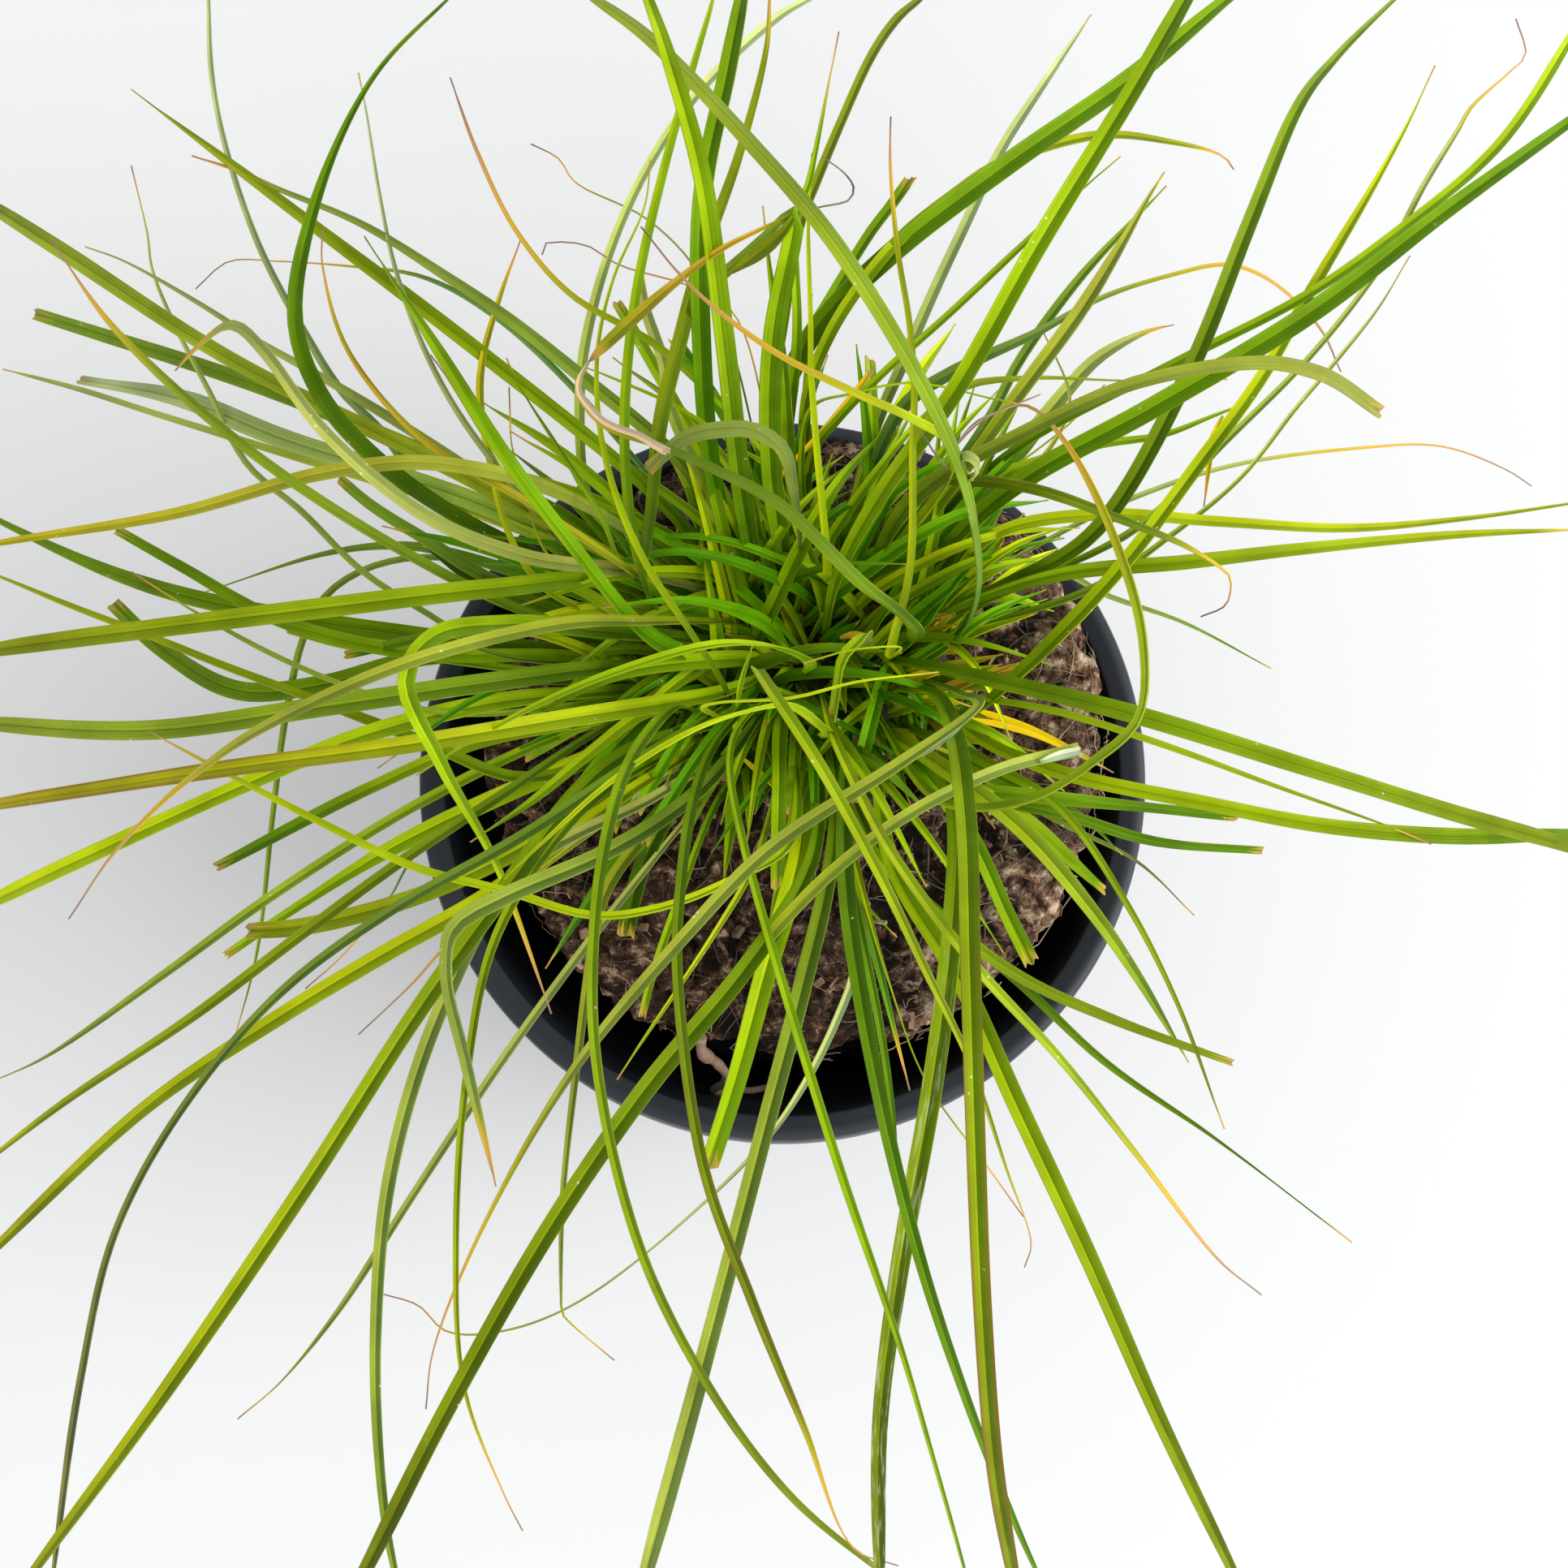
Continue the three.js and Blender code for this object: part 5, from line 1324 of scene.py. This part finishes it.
def fibre_course(ball, rng):
    """A curling course over the soil, or a shorter one where it runs over the edge."""
    start, _ = on_soil(ball, rng)
    heading, curl = rng.uniform(0, FULL_TURN), rng.gauss(0, FIBRE_CURL)
    step = rng.uniform(*FIBRE_STEPS)
    x, y = start.x / MM, start.y / MM
    course = []
    for k in range(FIBRE_POINTS):
        found = seen_from_above(ball, x, y)
        if not found:
            break
        arch = 1.1 * math.sin(math.pi * k / (FIBRE_POINTS - 1))
        course.append(Vector((x, y, found[0].z / MM + rng.uniform(-0.1, 0.7) + arch)))
        heading += curl + rng.gauss(0, FIBRE_CURL)
        x, y = x + step * math.cos(heading), y + step * math.sin(heading)
    return course


def make_fibres(ball):
    """Dead roots and husk fibres that lie over the soil."""
    for name, count, seed, thick, finish in FIBRE_KINDS:
        rng = random.Random(seed)
        courses, radii = [], []
        while len(courses) < count:
            course = fibre_course(ball, rng)
            if len(course) == FIBRE_POINTS:
                courses.append(course)
                radii.append(thick * rng.uniform(0.4, 1.0))
        finished(fibre_mesh(name, courses, radii), "peat", finish)


def make_edge_roots():
    """Fine roots that hang over the edge of the root ball."""
    rng = random.Random(23)
    courses, radii = [], []
    for _ in range(EDGE_ROOTS):
        angle = rng.uniform(0, FULL_TURN)
        share = rng.uniform(*EDGE_SHARES)
        drop = EDGE_FALL * rng.uniform(*EDGE_LENGTHS)
        course = []
        for k in range(FIBRE_POINTS):
            angle += rng.gauss(0, 0.03)
            on_ball = ball_surface(share - drop * k / (FIBRE_POINTS - 1), angle)
            course.append(on_ball + towards(angle) * (0.4 + rng.uniform(0.0, 1.3)))
        courses.append(course)
        radii.append(rng.uniform(0.05, 0.14))
    finished(fibre_mesh("edge_roots", courses, radii), "peat", PALE_FIBRE)


# ---- loose root ----
ROOT_SIDES = 12
ROOT_STEP = 0.5
ROOT_JOINTS = 9
LOOSE_ROOT = [
    (-14.5, -46.5, 111), (-14.2, -49, 107.5), (-11.8, -50.6, 103), (-10.2, -52.4, 98.5),
    (-10.4, -53.6, 93.5), (-12.2, -54.4, 88.5), (-12.6, -54.7, 84.5), (-11.2, -54.6, 82),
    (-9, -54.1, 81.2), (-6.2, -54.5, 81.6), (-3.6, -54, 81.3), (-1.4, -53.4, 82.4), (0.8, -52.2, 84),
]


def upright_bar(name, rings):
    """A round bar of height 1 with this many rings between its ends."""
    bpy.ops.mesh.primitive_cylinder_add(vertices=ROOT_SIDES, radius=1, depth=1, end_fill_type="TRIFAN")
    bar = named(name)
    bpy.ops.object.mode_set(mode="EDIT")
    bpy.ops.mesh.select_all(action="DESELECT")
    mesh = bmesh.from_edit_mesh(bar.data)
    for edge in mesh.edges:
        edge.select = abs(edge.verts[0].co.z - edge.verts[1].co.z) > 0.5
    bmesh.update_edit_mesh(bar.data)
    bpy.ops.mesh.subdivide(number_cuts=rings)
    bpy.ops.object.mode_set(mode="OBJECT")
    return bar


def make_loose_root():
    """A bare root that leaves the ball, drops into the gap and turns along the wall, with swollen joints."""
    rng = random.Random(31)
    track = smooth_course(LOOSE_ROOT, ROOT_STEP)
    last = len(track) - 1
    root = upright_bar("thick_root", last - 1)
    along, across = leaf_frames(track)
    up = np.cross(along, across)
    joints = [rng.uniform(0.0, 1.0) for _ in range(ROOT_JOINTS)]
    for vertex in root.data.vertices:
        share = vertex.co.z + 0.5
        i = min(last, max(0, round(share * last)))
        swell = sum(math.exp(-((share - joint) / 0.02) ** 2) for joint in joints)
        r = (1.0 - 0.4 * share) * (1 + 0.2 * swell) * rng.uniform(0.93, 1.07)
        sideways = Vector(across[i]) * vertex.co.x * r
        upwards = Vector(up[i]) * vertex.co.y * r
        vertex.co = (Vector(track[i]) + sideways + upwards) * MM
    apply_modifier(root, "SUBSURF", levels=1, render_levels=1)
    finished(root, "root_skin", ROOT_SKIN, replaces=["loose_root"])


# ---- pot ----
POT_SIDES = 192
# Radius and height of each ring in turn: up the outside, over the rim and down the inside.
POT_PROFILE = [
    (44.6, 0.0), (45.6, 0.4), (46.0, 1.2), (61.0, 98.0), (61.4, 108.4), (63.6, 108.4), (63.8, 98.2),
    (64.6, 98.0), (65.0, 98.6), (65.0, 108.9), (64.7, 109.6), (64.0, 110.0), (62.6, 109.9), (62.2, 109.7),
    (61.0, 109.7), (60.5, 109.4), (60.2, 108.6), (58.9, 99.0), (44.9, 2.8), (44.2, 2.1), (43.0, 2.0),
]
DRAIN_HOLES = 8
DRAIN_RADIUS = 4.0
DRAIN_RING_RADIUS = 33.0
DRAIN_SIDES = 32
DRILL_LENGTH = 10


def drawn_wall(name):
    """A thin wall drawn up ring by ring from the floor, over the rim and down inside to a second floor."""
    radius, height = POT_PROFILE[0]
    bpy.ops.mesh.primitive_circle_add(
        vertices=POT_SIDES, radius=radius * MM, fill_type="TRIFAN", location=(0, 0, height * MM))
    pot = named(name)
    bpy.ops.object.mode_set(mode="EDIT")
    bpy.ops.mesh.select_all(action="DESELECT")
    mesh = bmesh.from_edit_mesh(pot.data)
    for edge in mesh.edges:
        edge.select = edge.is_boundary
    mesh.select_flush_mode()
    bmesh.update_edit_mesh(pot.data)
    for (r0, z0), (r1, z1) in zip(POT_PROFILE, POT_PROFILE[1:]):
        bpy.ops.mesh.extrude_edges_move(TRANSFORM_OT_translate={"value": (0, 0, (z1 - z0) * MM)})
        bpy.ops.transform.resize(value=(r1 / r0, r1 / r0, 1))
    bpy.ops.mesh.edge_face_add()
    bpy.ops.mesh.poke()
    bpy.ops.mesh.select_all(action="SELECT")
    bpy.ops.mesh.normals_make_consistent(inside=False)
    bpy.ops.object.mode_set(mode="OBJECT")
    return pot


def make_pot():
    """The wall with a ring of drain holes drilled through its floor."""
    pot = drawn_wall("nursery_pot")
    drills = []
    for k in range(DRAIN_HOLES):
        angle = FULL_TURN * k / DRAIN_HOLES
        where = (DRAIN_RING_RADIUS * MM * math.cos(angle), DRAIN_RING_RADIUS * MM * math.sin(angle), 0)
        bpy.ops.mesh.primitive_cylinder_add(
            vertices=DRAIN_SIDES, radius=DRAIN_RADIUS * MM, depth=DRILL_LENGTH * MM, location=where)
        drills.append(named(f"drill_{k}"))
    drill = joined("drill", drills)
    apply_modifier(pot, "BOOLEAN", operation="DIFFERENCE", object=drill, solver="EXACT")
    bpy.data.objects.remove(drill)
    finished(pot, "pot_plastic", PLASTIC, replaces=["pot"], smooth=35)


# ---- stage ----
FLOOR_SIDE = 8
FLOOR_GREY = (0.812, 0.812, 0.814, 1)
SKY_WHITE = (0.98, 0.99, 1.0, 1)
SKY_STRENGTH = 0.72
LIGHT_TARGET = Vector((0, 0, 0.1))
LIGHTS = (
    ("soft light right", 84, 2.6, (2.42, -0.3, 2.1)),
    ("soft light front", 5, 1.4, (0.1, -1.2, 1.3)),
)


def make_stage():
    bpy.ops.mesh.primitive_plane_add(size=FLOOR_SIDE, location=(0, 0, 0))
    floor = named("studio_floor")
    material, _, shader = new_finish("studio floor")
    shader.inputs["Base Color"].default_value = FLOOR_GREY
    shader.inputs["Roughness"].default_value = 0.9
    floor.data.materials.append(material)

    world = bpy.context.scene.world or bpy.data.worlds.new("studio")
    bpy.context.scene.world = world
    world.use_nodes = True
    sky = world.node_tree.nodes["Background"].inputs
    sky[0].default_value = SKY_WHITE
    sky[1].default_value = SKY_STRENGTH
    bpy.context.scene.view_settings.view_transform = "Standard"

    for name, power, size, where in LIGHTS:
        bpy.ops.object.light_add(type="AREA", location=where)
        light = bpy.context.active_object
        light.name = name
        light.data.energy = power
        light.data.size = size
        light.rotation_euler = (LIGHT_TARGET - Vector(where)).to_track_quat("-Z", "Y").to_euler()


def make_camera():
    rim_centre = Vector((0, 0, POT_HEIGHT * MM))
    toward_eye = Vector((0, -math.cos(EYE_ELEVATION), math.sin(EYE_ELEVATION)))
    bpy.ops.object.camera_add(
        location=rim_centre + toward_eye * EYE_DISTANCE * MM,
        rotation=(math.pi / 2 - EYE_ELEVATION, 0, 0))
    camera = bpy.context.active_object
    camera.data.sensor_fit = "HORIZONTAL"
    camera.data.sensor_width = SENSOR
    camera.data.lens = SENSOR * SHEET_SCALE * EYE_DISTANCE / IMAGE_SIDE
    camera.data.shift_x = (IMAGE_SIDE / 2 - SHEET_CENTRE[0]) / IMAGE_SIDE
    camera.data.shift_y = (SHEET_CENTRE[1] - IMAGE_SIDE / 2) / IMAGE_SIDE
    camera.data.clip_start = 0.01
    bpy.context.scene.camera = camera


make_camera()
make_stage()
make_pot()
soil = make_root_ball()
make_crumbs(soil)
make_chips(soil)
make_fibres(soil)
make_edge_roots()
make_crown()
make_loose_root()
make_leaves()
make_inner_leaves()
make_broken_bits()
